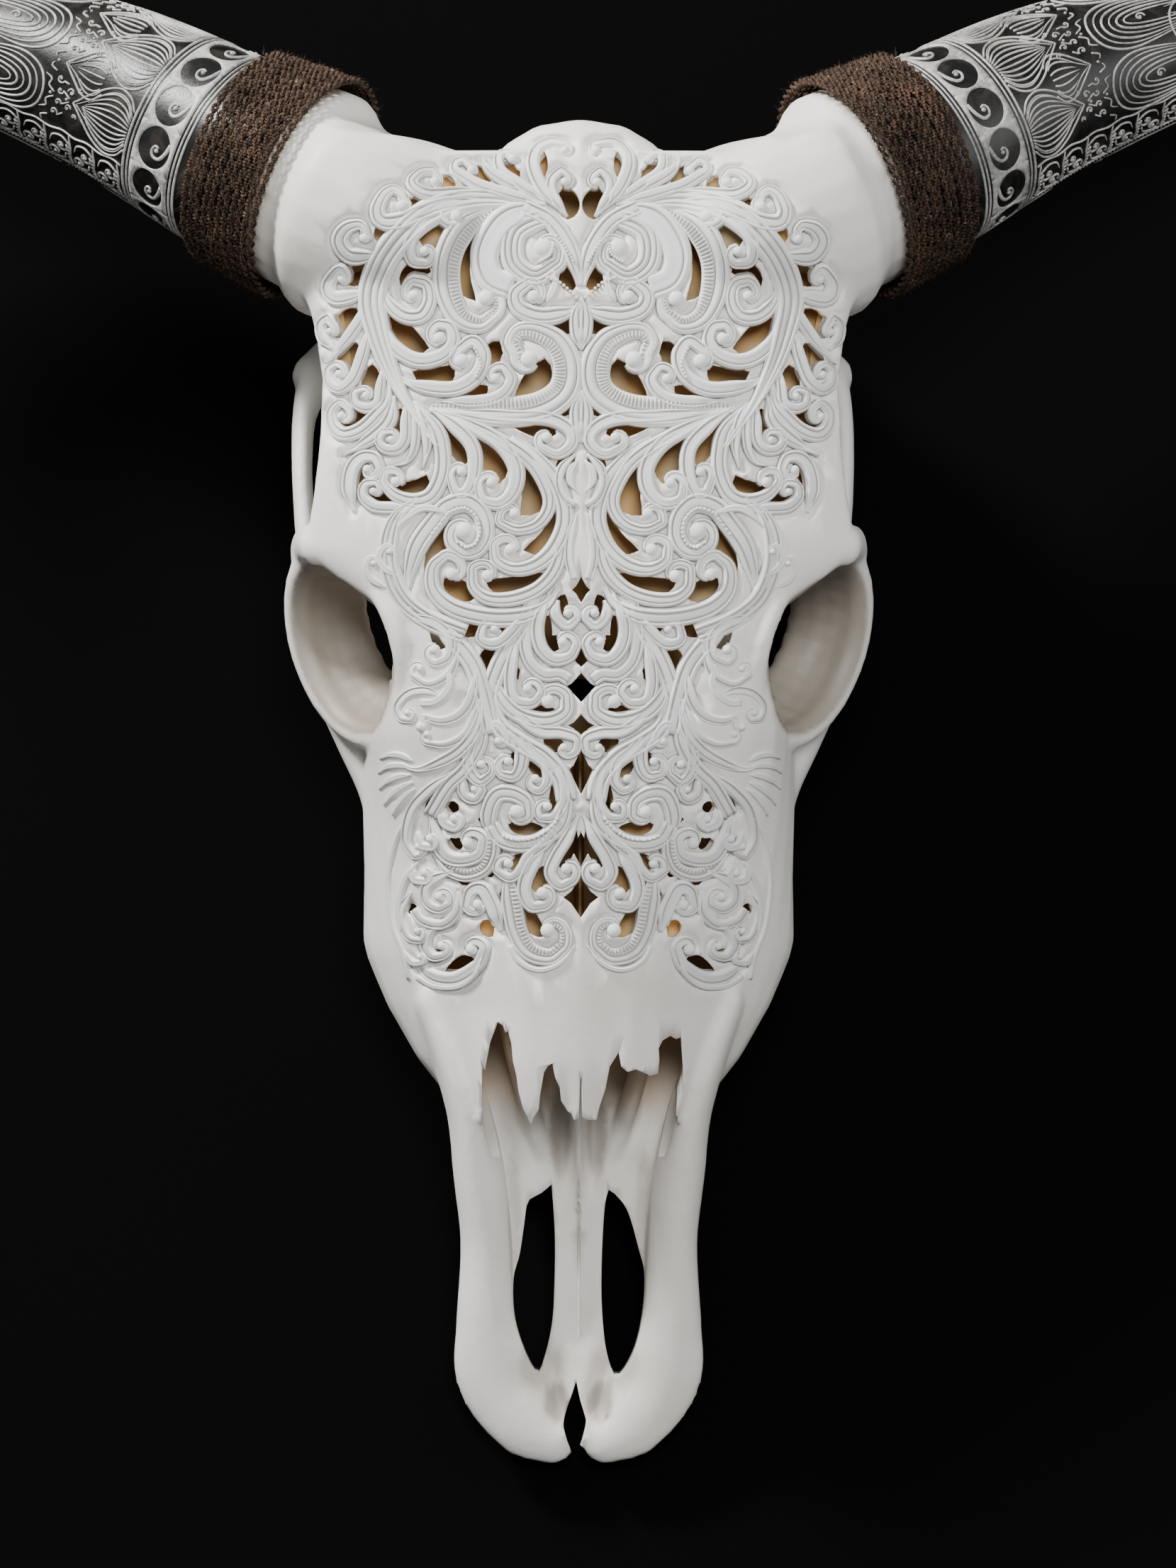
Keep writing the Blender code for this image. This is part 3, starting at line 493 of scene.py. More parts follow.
# %% What is empty inside
def bone_hollows():
    """Nose, sinuses, eye sockets, brain cavity and the ways between them."""
    clay = Clay("hollows")
    clay.loft("""
        100: 0,-27 22,-29 33,-38 37,-55 38,-70 34,-81 0,-81
        118: 0,-27 20,-29 31,-37 36,-52 37,-68 33,-81 0,-81
        135: 0,-23.5 20,-26 34,-35 45,-50 48,-68 40,-83 0,-84
        155: 0,-20 22,-23 36,-32 52,-48 58,-67 46,-86 0,-88
        175: 0,-17 24,-20 42,-30 60,-47 66,-65 50,-88 0,-92
        200: 0,-13 26,-16 46,-26 62,-43 66,-63 50,-88 0,-98
        225: 0,-9.5 30,-12.5 50,-21 64,-37 66,-58 48,-90 0,-104
        245: 0,-7.5 33,-9.8 53,-16 60,-28 50,-50 36,-82 0,-108
        262: 0,-6.8 35,-8.6 55,-14 57,-19 34,-26 26,-60 20,-86 0,-104
        286: 0,-6 38,-7.5 57,-12 58,-16 32,-20 14,-27 6,-40 0,-44
        302: 0,-6 42,-7.5 66,-12 74,-17 50,-19 14,-19.5 0,-20
        325: 0,-6 44,-7.5 70,-12 82,-17 78,-21 50,-20 0,-19.5
        350: 0,-6.5 44,-8 68,-12 80,-18 79,-23 50,-21 0,-20.5
        380: 0,-8 44,-9 68,-13 80,-20 80,-26 50,-23 0,-22
        410: 0,-10 44,-11 72,-15 86,-24 84,-33 50,-26 0,-26
        430: 0,-13 44,-14 66,-18 80,-28 78,-36 50,-31 0,-32
        442: 0,-20 30,-21 50,-24 60,-32 50,-36 30,-36 0,-37
    """, spacing=5.0)
    # From the nose down to the throat.
    clay.chain((
        (0, 262, -96, 17, 16, 14), (0, 280, -118, 15, 13, 16), (0, 292, -146, 14, 10, 16),
    ), both=False)
    # Eye sockets, open to the side.
    clay.lump((66, 283, -43), (31, 33, 28), both=True)
    clay.lump((86, 283, -44), (24, 30, 27), both=True)
    # Brain cavity and the hole at the nape.
    clay.lump((0, 376, -82), (41, 50, 33))
    clay.chain(((0, 415, -98, 22, 14, 20), (0, 462, -103, 17, 10, 17)), both=False)
    return clay.press(smooth=1)

# %% [markdown]
# ## Bars, arches and plates
# The rims of the eyes, the cheek arches, the two plates of the muzzle and the thin walls in the
# nose would be lost if they were cut out of the filled form. They are laid on afterwards as chains
# of balls, whose radii change from place to place as the bone swells and thins.

# %% Bars, arches and plates
def bone_fine_parts():
    """Bars and plates too thin for the filled form."""
    clay = Clay("fine_parts")
    # Rim of the eye socket, tipped so that it looks outwards and a little forward and up.
    rim = []
    for step in range(25):
        angle = 2 * math.pi * step / 24
        spoke = math.cos(angle) * EYE_ALONG + math.sin(angle) * EYE_UP
        thick = 5.0 - 1.0 * math.sin(angle)
        rim.append((*(EYE + 34 * spoke), thick, thick, thick))
        # The lower half of the rim runs on inwards as the floor of the socket.
        if math.sin(angle) < 0.3:
            for depth, radius in ((7, 32.5), (14, 30.5), (20, 28.5)):
                clay.lump(EYE + radius * spoke - depth * EYE_WAY, (5, 5.5, 4), both=True)
    clay.chain(rim)
    # Bar behind the eye, from the forehead down to the cheek.
    clay.chain((
        (91, 316, -20, 7, 8, 6), (96, 317, -40, 4.5, 7, 8), (98, 315, -62, 4.5, 7, 8),
        (97, 305, -80, 5, 9, 8),
    ))
    # Cheek arch, running back to the ear.
    arch = (
        (90, 280, -80, 6, 8, 9), (95, 300, -84, 4.5, 8, 8.5), (98, 325, -88, 4, 8, 8),
        (99.5, 350, -95, 4, 8, 8), (98, 372, -104, 5, 9, 8), (90, 386, -108, 9, 9, 8),
        (74, 394, -106, 10, 10, 9), (58, 398, -102, 10, 12, 12),
    )
    for side, inset in ((1, ARCH_INSET), (-1, 0)):
        clay.chain([(side * (x - inset), *rest) for x, *rest in arch], both=False)
        clay.lump((side * (96 - inset), 381, -110), (8, 9, 9))
    # Front of the muzzle: the two rounded plates and the bars that rise to the cheek.
    clay.chain((
        (9.5, 0, -73, 9, 10, 5.5), (19, 7.5, -73, 15, 14.5, 6.5), (28, 22, -72, 16.5, 13, 7.5),
        (33, 42, -70, 11, 12, 9), (33, 70, -67, 9.5, 11, 11), (35.5, 95, -63, 9.5, 11, 14),
        (39, 116, -60, 8, 10, 17), (45, 136, -58, 7, 10, 18), (53, 157, -56, 6, 10, 16),
    ))
    clay.chain((
        (51, 150, -80, 8, 9, 12), (50, 139, -80, 8, 7, 9), (45, 130, -80, 8, 6, 7),
    ))
    # Between the two plates, cut to shape later.
    clay.chain((
        (2.0, 3, -73, 4, 6, 5), (2.5, 16, -73.5, 4.5, 8, 5), (3, 28, -75, 5, 7, 4.5),
    ))
    # Floor of the nose in front of the palate, where two slots are cut later.
    clay.chain((
        (10, 24, -77, 11, 9, 4.5), (13, 48, -77, 14, 13, 4), (14, 75, -78, 15, 16, 3.6),
        (15, 104, -82, 16, 14, 3.4),
    ), spacing=5.0)
    # The bone that divides the nose, and the folded plates beside it.
    clay.chain((
        (0, 84, -78, 1.4, 5, 3), (0, 98, -76, 1.6, 7, 5), (0, 118, -72, 1.6, 8, 9),
        (0, 150, -68, 1.7, 10, 22), (0, 200, -66, 1.8, 12, 30), (0, 240, -64, 1.8, 12, 34),
    ), both=False)
    clay.chain((
        (11, 97, -83, 4, 7, 4), (16, 112, -76, 3, 8, 8), (21, 130, -66, 3, 9, 14),
        (26, 152, -56, 3, 10, 22), (30, 178, -50, 3, 10, 26),
    ))
    clay.chain((
        (24, 160, -33, 17, 9, 2.6), (27, 180, -29, 18, 10, 2.6), (28, 200, -26, 20, 10, 2.6),
        (29, 222, -21, 21, 10, 2.6), (29, 240, -18.5, 22, 9, 2.6), (29, 256, -16.5, 20, 9, 2.6),
    ), spacing=4.0)
    clay.chain((
        (7, 14, -76, 5, 8, 4), (4.6, 30, -77, 4.6, 8, 3.4), (4.3, 60, -78, 4.6, 8, 3.4),
        (4.3, 104, -82, 4.8, 8, 3.4), (6, 140, -88, 8, 8, 4),
    ))
    clay.chain((
        (13, 92, -83, 12, 9, 3), (16, 108, -84, 16, 9, 3.2), (20, 128, -86, 20, 10, 3.6),
        (22, 150, -91, 22, 10, 4),
    ))
    clay.chain(((28, 100, -80, 11, 9, 5), (32, 118, -84, 13, 10, 6), (38, 136, -90, 13, 10, 7)))
    # Plates that hang down beside the throat.
    clay.chain((
        (24, 262, -116, 4, 9, 12), (20, 280, -126, 3.2, 9, 15), (18, 298, -133, 3, 9, 13),
        (17, 318, -132, 3, 8, 10),
    ))
    clay.chain(((18, 300, -140, 2.8, 6, 8), (19, 308, -149, 2.6, 4, 4)))
    # Ear capsules, nape joints and the two long spurs that the back of the skull stands on.
    clay.chain(((44, 372, -136, 9, 11, 12), (47, 388, -134, 10, 12, 14)))
    clay.chain(((24, 434, -124, 15, 12, 18), (27, 444, -124, 16, 13, 19)))
    clay.chain((
        (67, 418, -112, 10, 15, 12), (63, 410, -136, 7, 11, 12), (58.5, 402, -156.5, 5.5, 8, 12),
        (57, 400, -163.6, 5, 7, 8),
    ))
    return clay.press(smooth=1)

# %% [markdown]
# ## What the carver drew
# The carving is a tree of fronds. Each one leaves a stem as a thin root, widens to a grooved
# ribbon and rolls up round a small ball. The table holds the right half of the face, as it is
# seen in the picture: millimetres across from the middle line and up from the nose tip. A frond
# is its name, width, style, inset, middle line and the ball that it rolls up on. A digit in the
# style is the number of grooves; f adds fluting on the inner side, b beads there and B beads on
# the outer side, l is low relief and t a pointed end. The inset moves a line that was drawn
# along the outer edge of a curl to the middle of its ribbon.

# %% Fronds of the right half
FRONDS = """
stem 10.0 3t 0 | 10,428 25,433 38,433.5 50,430 60,422.5 68,412 72,400 70,388 66,376 60,364 54,355
 49,348 |
under_eye 7.0 3l 0 | 56,331 63,325 66,316 65.5,306 61,296 52,289 40,284 |
e1 3.4 1 1.3 | 5,428 9.5,435 10.5,441 7,445 3.5,443 | 5.5,439.5 1.6
e2 4.6 1 0 | 6,429 13,437 16.5,445 15.5,450.5 11,453.5 5,453 | 5.5,450.5 1.6
e3 3.9 1 1.8 | 12,433 22,439.5 28.5,444 30,449 26.5,452 23,450.5 | 23.4,447.5 1.8
e4 4.0 1t 0 | 20,437 29,442 33,445.6 33.6,448.6 |
e5 4.0 1 1.9 | 12,432 30,437 40,440.5 45,443 44.5,447.5 40,449 36.5,446.5 | 37.5,443.5 1.6
e6 4.6 2 2.2 | 30,436 42,436 52,435.5 58,437.5 59.5,441 56,445 50,445.5 47,442.5 | 50,439.5 1.8
e7 6.4 2 3.4 | 30,433 45,432 55,429 62,426 69,425 72.5,430 70.5,437 64.5,440.5 59,437.5 58,434 |
 61.5,431 2.2
e7b 6.0 2 2.8 | 68,414.5 74,413.5 80,414 83,419 81,425 76,427.5 72,424.5 71.5,421 | 74.3,420 2.0
e7c 5.4 1 1.7 | 73,402 79,400 85,399.5 87.5,404 85.5,409.5 82,411 79.5,408.5 | 82,406 1.8
e7d 3.8 1 1.2 | 86,382 89,386 89.5,391 87,394 84.5,391 | 86.2,388 1.4
b1 4.2 1t 0 | 72,400 75,394 79,388 84,381.5 88,377 |
b2 4.2 1 0.6 | 72,391 74,385 75.5,379.5 78.5,372 83,367.8 87,370 87.5,375 85,377.3 | 83.2,373.4
 1.5
e7f 3.6 1 0.6 | 68,377 69,369 70,363.5 74,361.5 78,363 78.5,367.5 75.5,369 | 74,366 1.4
e7g 5.0 2 0.8 | 66,371 67,364 71,359 76,354.5 82,352.5 86,355.5 86.5,361 83,364.5 80,363 |
 82.4,359 1.6
b3 5.0 2t 0 | 64.5,366 66,358 71,352.5 77,348.5 82,345.5 |
e28 3.8 1 0.4 | 60,366 60.3,358 60.5,351.5 63,347.8 67.5,347.5 70,350.5 68.5,353.8 65,354.3 |
 65.3,351 1.4
e29 5.0 1 0 | 78,326 80,334 79,341 75.5,345 71,345 69,341.5 | 73.4,340.7 1.7
e30 5.6 2 0 | 58,364 50,355 47.7,347 48,339 51.5,332 57.5,330 64,332 68,336.5 67,340 | 63.6,336.5
 1.8
e31 4.0 1 0 | 56,327 64,327.5 71,328 75,331.5 74.5,335.5 71,336.5 | 71.3,333.2 1.4
e8 4.6 1 0 | 48.5,430 55,424 59,418 58,412 53,411 | 53.8,415.6 1.8
e9 2.8 1 0 | 49,431 47.8,426.5 45,424.5 | 43,427.5 2.4
e10 5.2 2 0 | 68,404 66,398 61,393.5 55,393.5 52,398.5 53,404 57.5,405.5 | 57.4,400.4 2.0
e11 5.2 1 0.3 | 68,392 65,384 60,379.5 54,378 47,380 43.5,385 45,390 49,391 | 48.6,385.7 2.2
e12 5.2 1 0 | 64,373 56,369.5 44,368.5 36,373 33.5,380 37,385 42,382 | 41,378 2.6
e13a 9.6 1 0 | 12,430 20,429.5 28,425 33,415 31,406.5 24,403 |
e13b 8.2 3 0 | 5,424 14,426.5 22.5,422 23,412 16,407 8,411.5 | 12.8,416.8 3.4
e14 9.4 1f 0 | 28,432 40,424 45.5,414 46,403 42,393.5 35,390.5 29.5,394 | 32.6,399.4 2.8
e15 6.2 2 0 | 0,397 6,394.5 14,393.5 21,396 22.5,401 18,405 | 16.3,400 2.4
e16 10.4 1f 3.2 | 52,362 30,360.5 15,362 6,368 3.5,378 7,387 15,391.5 23,391 27,385 25,379 |
 18,378.5 3.0
e17 4.4 1 0 | 48,364.5 36,364 28,366 24,371.5 26.5,376 | 29.4,372 1.8
e18 5.0 1 0 | 46,361 25,359 12,358.5 4.5,355 3,350 8,346 14,348.5 | 11.8,351.8 1.9
e19 4.8 2 0 | 48,361 30,352 18,344 12,335 11,328 15,322 22,320 28,322.5 | 22.8,325.6 2.0
e20 5.6 1 0 | 48,361 38,356 28,350 22.5,342 23,334 28,329 34,330.5 35.5,336 | 30.7,336.2 2.0
e21 5.0 1 0 | 52,362 44,356 37.5,349 36.5,341 39,333.5 43,333 45,338 | 41,340 1.8
e23 7.0 2b 1.8 | 61,296 59,306 56,315 50,323.5 46,328 39,330 33,326 31,319 34,312.5 40,310.5
 45,313.5 | 40,319.6 3.2
e24 6.0 2 0 | 24,352 18,348 9,337 5.5,325 8.5,315 15,308.5 23,306.5 29,309.5 30,315 | 24.2,313.2
 2.2
e25 5.0 2 0 | 6,324 8,309 14,300.5 23,296.5 32,296.5 37,300.5 37.5,307 | 32.2,304.2 2.2
e26 6.4 2 0 | 8,300 12,294.5 20,290.5 32,290 44,293 50.5,299 51,307 46.5,311.5 | 44.4,304.8 2.2
m1 3.4 0 0 | 8,296 8.8,291 5,287 1.5,289.5 | 4.6,291.5 1.6
m2 4.6 1 0 | 11,298 15,288 14,280 9.5,275.5 4,276.5 1.5,280.5 | 6.4,281.6 1.8
m3 4.4 1 0 | 14,300 18,295 19.5,284 18,275.5 13,270.5 7.5,270.5 4,268.5 |
m4 4.2 1 0 | 22,284 24.5,270 23,262 17,260.5 13.5,264 | 18.4,265.5 1.8
m5 5.8 2 0 | 30,270 27,262 21,256.5 12,254.5 5.5,257.5 5,263 | 11.4,261.2 2.4
m6 4.4 1 0 | 26,260 15,251.5 7,250.5 1.5,248.5 1.5,244.5 | 6,245.4 1.5
l1 4.2 1 0 | 18,292 26,283 30.5,280.8 34.5,282.5 34,286.5 | 29.8,286 1.5
arm_in 6.4 2 0 | 14,298 20,288 28,274 31.5,262 29,254 |
arm_out 6.6 2 0 | 56,291 50,288 43,281 37,273 33.5,262 31,250 |
trunk 7.0 2 0 | 31,264 28,252.5 21,246.8 13,242 7,235 5,227 |
l2 4.0 1l 0 | 60,291 50,288 45,283 45.5,276.5 50,274 | 50,279 1.8
l2b 3.2 1l 0 | 42,279 45,271 52,267 58,270 | 55,272.6 1.4
l3 4.0 1l 0 | 36,272 38,262 42,256.5 48,254.5 54,256 | 55,252.6 1.6
l3b 3.2 1l 0 | 35,262 39,251 46,246.5 53,247 | 52.6,250 1.2
l4 4.8 2lt 0 | 34,262 36,252 41,245 48,240.5 56,238 62,240 |
l5 5.4 2 0 | 33,258 35,247 40,238 46,232 52,222 |
l6 3.6 1l 0 | 44,237 52,231 58,224 60,214 57,208 | 55.4,211.6 1.4
m7 4.2 1 0 | 24,252 18,245 12.5,240 11.5,234 14,230.5 | 15.8,234.6 1.6
m8 5.0 2 0 | 29,254 21.5,247 20.5,240.5 23,235.5 27.5,236 | 25,240.6 1.6
m9 3.2 0 0 | 32,253 28.5,253.2 25.6,249.5 | 28.2,247.6 1.6
m10 4.6 2 0 | 34,254 38,246 38.5,238 35,233.5 31,236 | 34.3,239.6 1.6
m11 3.6 1 0 | 41,236 40.5,229.5 36.5,227.4 34,230.5 | 36.6,231 1.4
n1 4.0 1 0 | 9.5,243 6,234 6,226.5 9.5,221.5 14,221 | 11.6,225.2 1.6
n2 6.0 2 1.6 | 31,213 32,222 29,229 22.5,230.5 17.5,227.5 16.5,222.5 | 22,223.4 2.6
n3 5.6 2b 0 | 4,234 6,222 9,217 15,213 22,212 28,214 31,219 |
n4 4.0 1 0 | 6,222 12,213 18,208 20.5,203.5 24.5,200.5 29,203 | 25,205.6 1.7
n5 4.4 1 0.4 | 1,222 5,214 9,207.5 11,202 7.5,197.5 3,199 | 5,203.8 2.0
n6 5.0 1 0.4 | 12,213 18,203 20,196 17.5,190.5 12.5,190.5 | 13.2,195.4 2.2
n7 7.0 1f 0 | 26,204 23.8,190 22,182 18,175.5 11,173.5 6,177 | 11.4,182.6 2.6
n8 5.2 1 0 | 28,182 29.5,188 31,192 34,197 38,196 39.5,191 | 35.4,191.4 2.0
n9 5.0 1 0 | 52,222 50,214 46.5,208 41,206.5 35,208.5 33.5,214 | 38.8,212.6 2.2
n9b 4.6 1f 0 | 51,209 46.4,204 40,201.4 33.6,203.4 30.8,208.4 30.4,214 |
n10 3.6 0 0 | 48,224 47,219.5 43.4,217.6 | 43.6,220.9 1.6
n11 3.0 0l 0 | 56,216.5 55,212 51,211 | 51.5,214.2 1.6
n12 4.0 1l 0 | 44,203 52,199 53,193 49,190 44.6,191.6 | 48.2,194.4 1.8
n12b 3.6 1l 0 | 42,196 42.5,189 47.5,184.6 54,186 57,190 |
n13 3.0 0l 0 | 57.5,205 57,200.4 53,199.3 | 53.3,202.6 1.6
n14 5.0 1 1.2 | 58,172 50,166.5 42,166 35,169.5 32,176 | 37.6,176.2 2.2
n15 4.2 1 0 | 44,185 51,184 53.6,178 51,173.6 47.6,173.6 | 47.8,177.4 1.6
leaf_top 4.6 2t 0 | 0,382 1.4,388 1.6,394 0,400 |
leaf_low 4.6 2t 0 | 0,350 1.4,356 1.6,362 0,368 |
vee 6.0 2 0 | 0.6,404 2,411 5,419 11,426.5 20,431 |
rim_line 1.6 0l 0 | 60,221 63.5,213 65.5,200 64,185 60.5,175 58.5,166 |
s1 3.4 1t 0 | 57,364 53.8,356 53,348 54.5,341 |
s2 3.0 1t 0 | 58,364 56.8,356 57.4,348 60,343.4 64.5,342 |
s3 2.6 0lt 0 | 46,326 54,327.5 60,324 63.5,320 |
r1 2.8 0l 0 | 63,304 67.5,307 69.4,311 67.4,314.4 | 65.6,312.6 1.2
r2 2.4 0l 0 | 66.5,300 71.5,303 73.6,307 72.6,310.4 | 71,308.6 1.1
k1 3.0 1l 0 | 2,346 6.5,341.5 7.6,336 5.6,331 2,328 |
k2 2.6 0lt 0 | 1.2,344 3.6,340.5 3.8,336.5 1.6,333 |
k3 3.2 1l 0 | 1.6,326 3.8,318 4.2,310 2.4,303 |
k4 2.6 0lt 0 | 12,398 9,404 9.5,409 |
n7b 1.8 0l 0 | 2.4,177.5 4.2,174.6 7.5,171.2 12.5,169.2 17.5,169.8 22,173 24.4,177.6 |
w1 1.8 0l 0 | 34,173 36.4,167.4 42,163.4 50,163.6 56,167 |
w2 2.2 0lt 0 | 56,206 60,200 62,191 61,182 |
w3 3.0 1l 0 | 58,196 61.4,188.6 59,180.6 54.6,179 | 55.6,182.6 1.3
w4 2.4 0l 0 | 60.4,176 57.6,171.8 54,171.6 | 54.8,173.8 1.1
f1 2.2 0lt 0 | 57.5,240.5 61,242.6 65,243 68.5,241.5 |
f2 2.2 0lt 0 | 58,238.5 62,239.4 66,238.8 69,236.5 |
f3 2.2 0lt 0 | 58.2,236 62,235.6 66,233.8 68.6,231 |
f4 2.2 0lt 0 | 57.6,233.6 61.4,231.8 64.8,229 67,225.6 |
f5 2.0 0lt 0 | 57,231.4 60.2,228.8 62.8,225.4 64.2,222 |
v1 3.2 1l 0 | 47,262.5 53,265 59,264 62.8,259.6 61.8,255.4 58.2,254.6 | 59.2,257.4 1.3
v2 2.6 0l 0 | 46,274 45,268.4 46.6,264 50.6,261 55,260.8 |
"""
FROND_ROWS = FRONDS.replace("\n ", " ").strip().split("\n")
print("fronds a side:", len(FROND_ROWS))

# %% [markdown]
# ## The holes
# Between the fronds the carver drilled through to the hollow behind. Each hole of the right half
# is a crescent: its two ends, a point between them and its width. The last few lie across the
# middle line and are lozenges: middle, width and height.

# %% Holes of the right half
CRESCENTS = """
4.5,426.5 4.5,432 6,438 6 | 12.5,450 14,445 13.5,440 3.2 | 20.5,438.5 24.5,442 24,447 6
31,439 35,442 39,443 4 | 43,438 46.5,439.5 49.5,438.5 2.8 | 53.5,432.5 57.5,431.5 60,430 3.5
65,424 68,422 70,419 4 | 72,414 76,408.5 80,404 5 | 77,396.5 81,391 84,386 5.5
31,430.5 36,430 40,427 2.5 | 48.5,428 51,421 53.5,416.5 8 | 51.5,408.5 57,409 62,404 4.5
36,398.5 41.5,409 37,420.5 4.5 | 64.5,395 60.5,386 52,382.5 7 | 44.5,377 49,372.5 58,374.5 6
12.5,379 15.5,371 23,365 7 | 28,385 30,380.5 28,377 4.5 | 32,369.5 36,367 41,365.5 3
8.5,353 15,355 25,357 4 | 47,359 42.5,350 40,342 5 | 35,352 30,344 28,336 6.5
21.5,344 15.5,334 21,325 8 | 8,332 9,319 20,313 6 | 13,305.5 23,300.5 33,303 5
36,297 42,299.5 47,303.5 5 | 39,322 47,318 53.5,304 4.5 | 77,384.5 79.5,378.5 81.5,372.5 6
71.5,377 72,371 71.5,366.5 4.5 | 62,362 62,356 62,351 5 | 73,360 78,357.5 83,355 4.5
53,339 57,334 63.5,336 4.5 | 65,329.5 69,331 73,331 3.5 | 72.5,342.5 76,340.5 78,334 3.5
11,291 12.5,285 11,281 3 | 22,289 25.5,286.5 27,285 2.5 | 34.5,288 38.5,286.5 43,288 4.5
29,278 31.5,276 31,270.5 4.5 | 52,286.5 48.5,283 48,279 3.5 | 24.5,275 23.5,271 21.5,269 3
9.5,259 12.5,257.5 19,259.5 2.5 | 37,268 37.2,263 39.5,257.5 3 | 5.5,246 9,246.5 13,248 3
16,244.5 14.5,239.5 14,235 5 | 22,245 22,242 24,239.5 3 | 8.5,236 8,229 11,222.5 3.5
12.5,217.5 19,217.5 25,219 3 | 1.5,217 5,210.5 7,204 3.5 | 11.5,205 14,200 15.5,195.5 3.5
19.5,192.5 17.5,186 12,180.5 4 | 19,208.5 22.5,206 25,203.5 2.5 | 24,196.5 25.5,194 25.3,191 3
31,186 32,183.5 30,180.5 3 | 37,173.5 40,171 46.5,168 4 | 43.5,227 44,225 44.5,223 2.5
40,213.5 43,212.5 44.5,214.5 3 | 46,174.5 49.5,174 53.5,174 2.5 | 5.5,298 6.8,294 6,290 2.5
8.5,284 9.8,281 7.5,279.2 2.2 | 2,346 5.5,342 4.5,338 4 | 3.5,363 6,362 10,360 3.5
2.5,391 5,390 10,391 3 | 1.5,409 4,406.5 3.5,401.5 5 | 33,221.8 33.2,220.5 33.6,219.2 1.8
28,211.6 28.6,210.4 29.4,209.4 1.6 | 31,203.6 31.6,202.4 32.4,201.4 1.6
38.6,200.6 39.8,199.6 40.6,198.2 2 | 51,228 51.4,225 51,222 1.4 | 57.6,192 57.4,190 57,188 1.4
"""
LOZENGES = "277,10,8 266,11.5,10 253,9,7.5 237,9.5,15.5 210.5,8,12 194,12,14 299.5,6.5,9"
HOLES = [hole.split() for row in CRESCENTS.strip().split("\n") for hole in row.split("|")]
print("holes a side:", len(HOLES), "and on the middle line:", len(LOZENGES.split()))

# %% [markdown]
# ## Putting the bone together
# The outer heap is measured before it is hollowed: rays straight down give the height of the
# face and forehead over x and y, and later every leaf of the carving is laid on those heights.
# Then the hollows are cut away, bars and arches are joined on, and one more remesh melts it all
# into one bone.

# %% Heights of the uncut face
LOWEST = -52.0  # the sides of the face below this aren't part of its front


def grid_of(bone):
    """Heights of a bone's front over a grid of x and y, with gaps filled from their edges."""
    tree = BVHTree.FromObject(bone, bpy.context.evaluated_depsgraph_get())
    xs = np.arange(-112.0, 112.5)
    ys = np.arange(-16.0, 470.5)
    heights = np.full((len(xs), len(ys)), np.nan)
    down = Vector((0.0, 0.0, -1.0))
    for i, x in enumerate(xs):
        for j, y in enumerate(ys):
            spot = tree.ray_cast(Vector((x, y, 40.0)), down)[0]
            if spot is not None and spot.z > LOWEST:
                heights[i, j] = spot.z
    for _ in range(30):
        padded = np.pad(heights, 1, constant_values=np.nan)
        near = np.stack([padded[:-2, 1:-1], padded[2:, 1:-1], padded[1:-1, :-2], padded[1:-1, 2:]])
        known = ~np.isnan(near)
        mean = np.where(known, near, 0.0).sum(0) / np.maximum(known.sum(0), 1)
        empty = np.isnan(heights) & (known.sum(0) > 0)
        heights[empty] = mean[empty] - 0.8
    heights[np.isnan(heights)] = -60.0
    return xs, ys, heights, tree


def softened(grid, times):
    """A grid with each cell drawn towards its neighbours."""
    for _ in range(times):
        padded = np.pad(grid, 1, mode="edge")
        grid = (
            padded[:-2, 1:-1] + padded[2:, 1:-1] + padded[1:-1, :-2] + padded[1:-1, 2:] + 4 * grid
        ) / 8
    return grid


def read_grid(grid, x, y):
    """Values of a grid between its points."""
    u = np.clip((np.asarray(x) - GRID_X[0]) / (GRID_X[1] - GRID_X[0]), 0, len(GRID_X) - 1.001)
    v = np.clip((np.asarray(y) - GRID_Y[0]) / (GRID_Y[1] - GRID_Y[0]), 0, len(GRID_Y) - 1.001)
    i, j = u.astype(int), v.astype(int)
    u, v = u - i, v - j
    low = grid[i, j] * (1 - u) + grid[i + 1, j] * u
    high = grid[i, j + 1] * (1 - u) + grid[i + 1, j + 1] * u
    return low * (1 - v) + high * v


uncut = bone_outside()
GRID_X, GRID_Y, HEIGHTS, OUTER = grid_of(uncut)
HEIGHTS = softened(HEIGHTS, 3)
SLOPE_X, SLOPE_Y = np.gradient(softened(HEIGHTS, 6), GRID_X[1] - GRID_X[0])
print("heights from", HEIGHTS.min().round(1), "to", HEIGHTS.max().round(1))

# %% [markdown]
# ## One bone
# The hollows are cut out with a Boolean, which keeps the skin where it was, and the second remesh
# melts the bars and arches on, as bone has no seams. Crumbs that the cut leaves hanging free are
# dropped, because nothing on the real skull floats.

# %% Hollow it out and melt the parts together
def join_into(target, other):
    """Adds one object's mesh to another."""
    both = bmesh.new()
    both.from_mesh(target.data)
    both.from_mesh(other.data)
    both.to_mesh(target.data)
    both.free()
    bpy.data.objects.remove(other, do_unlink=True)


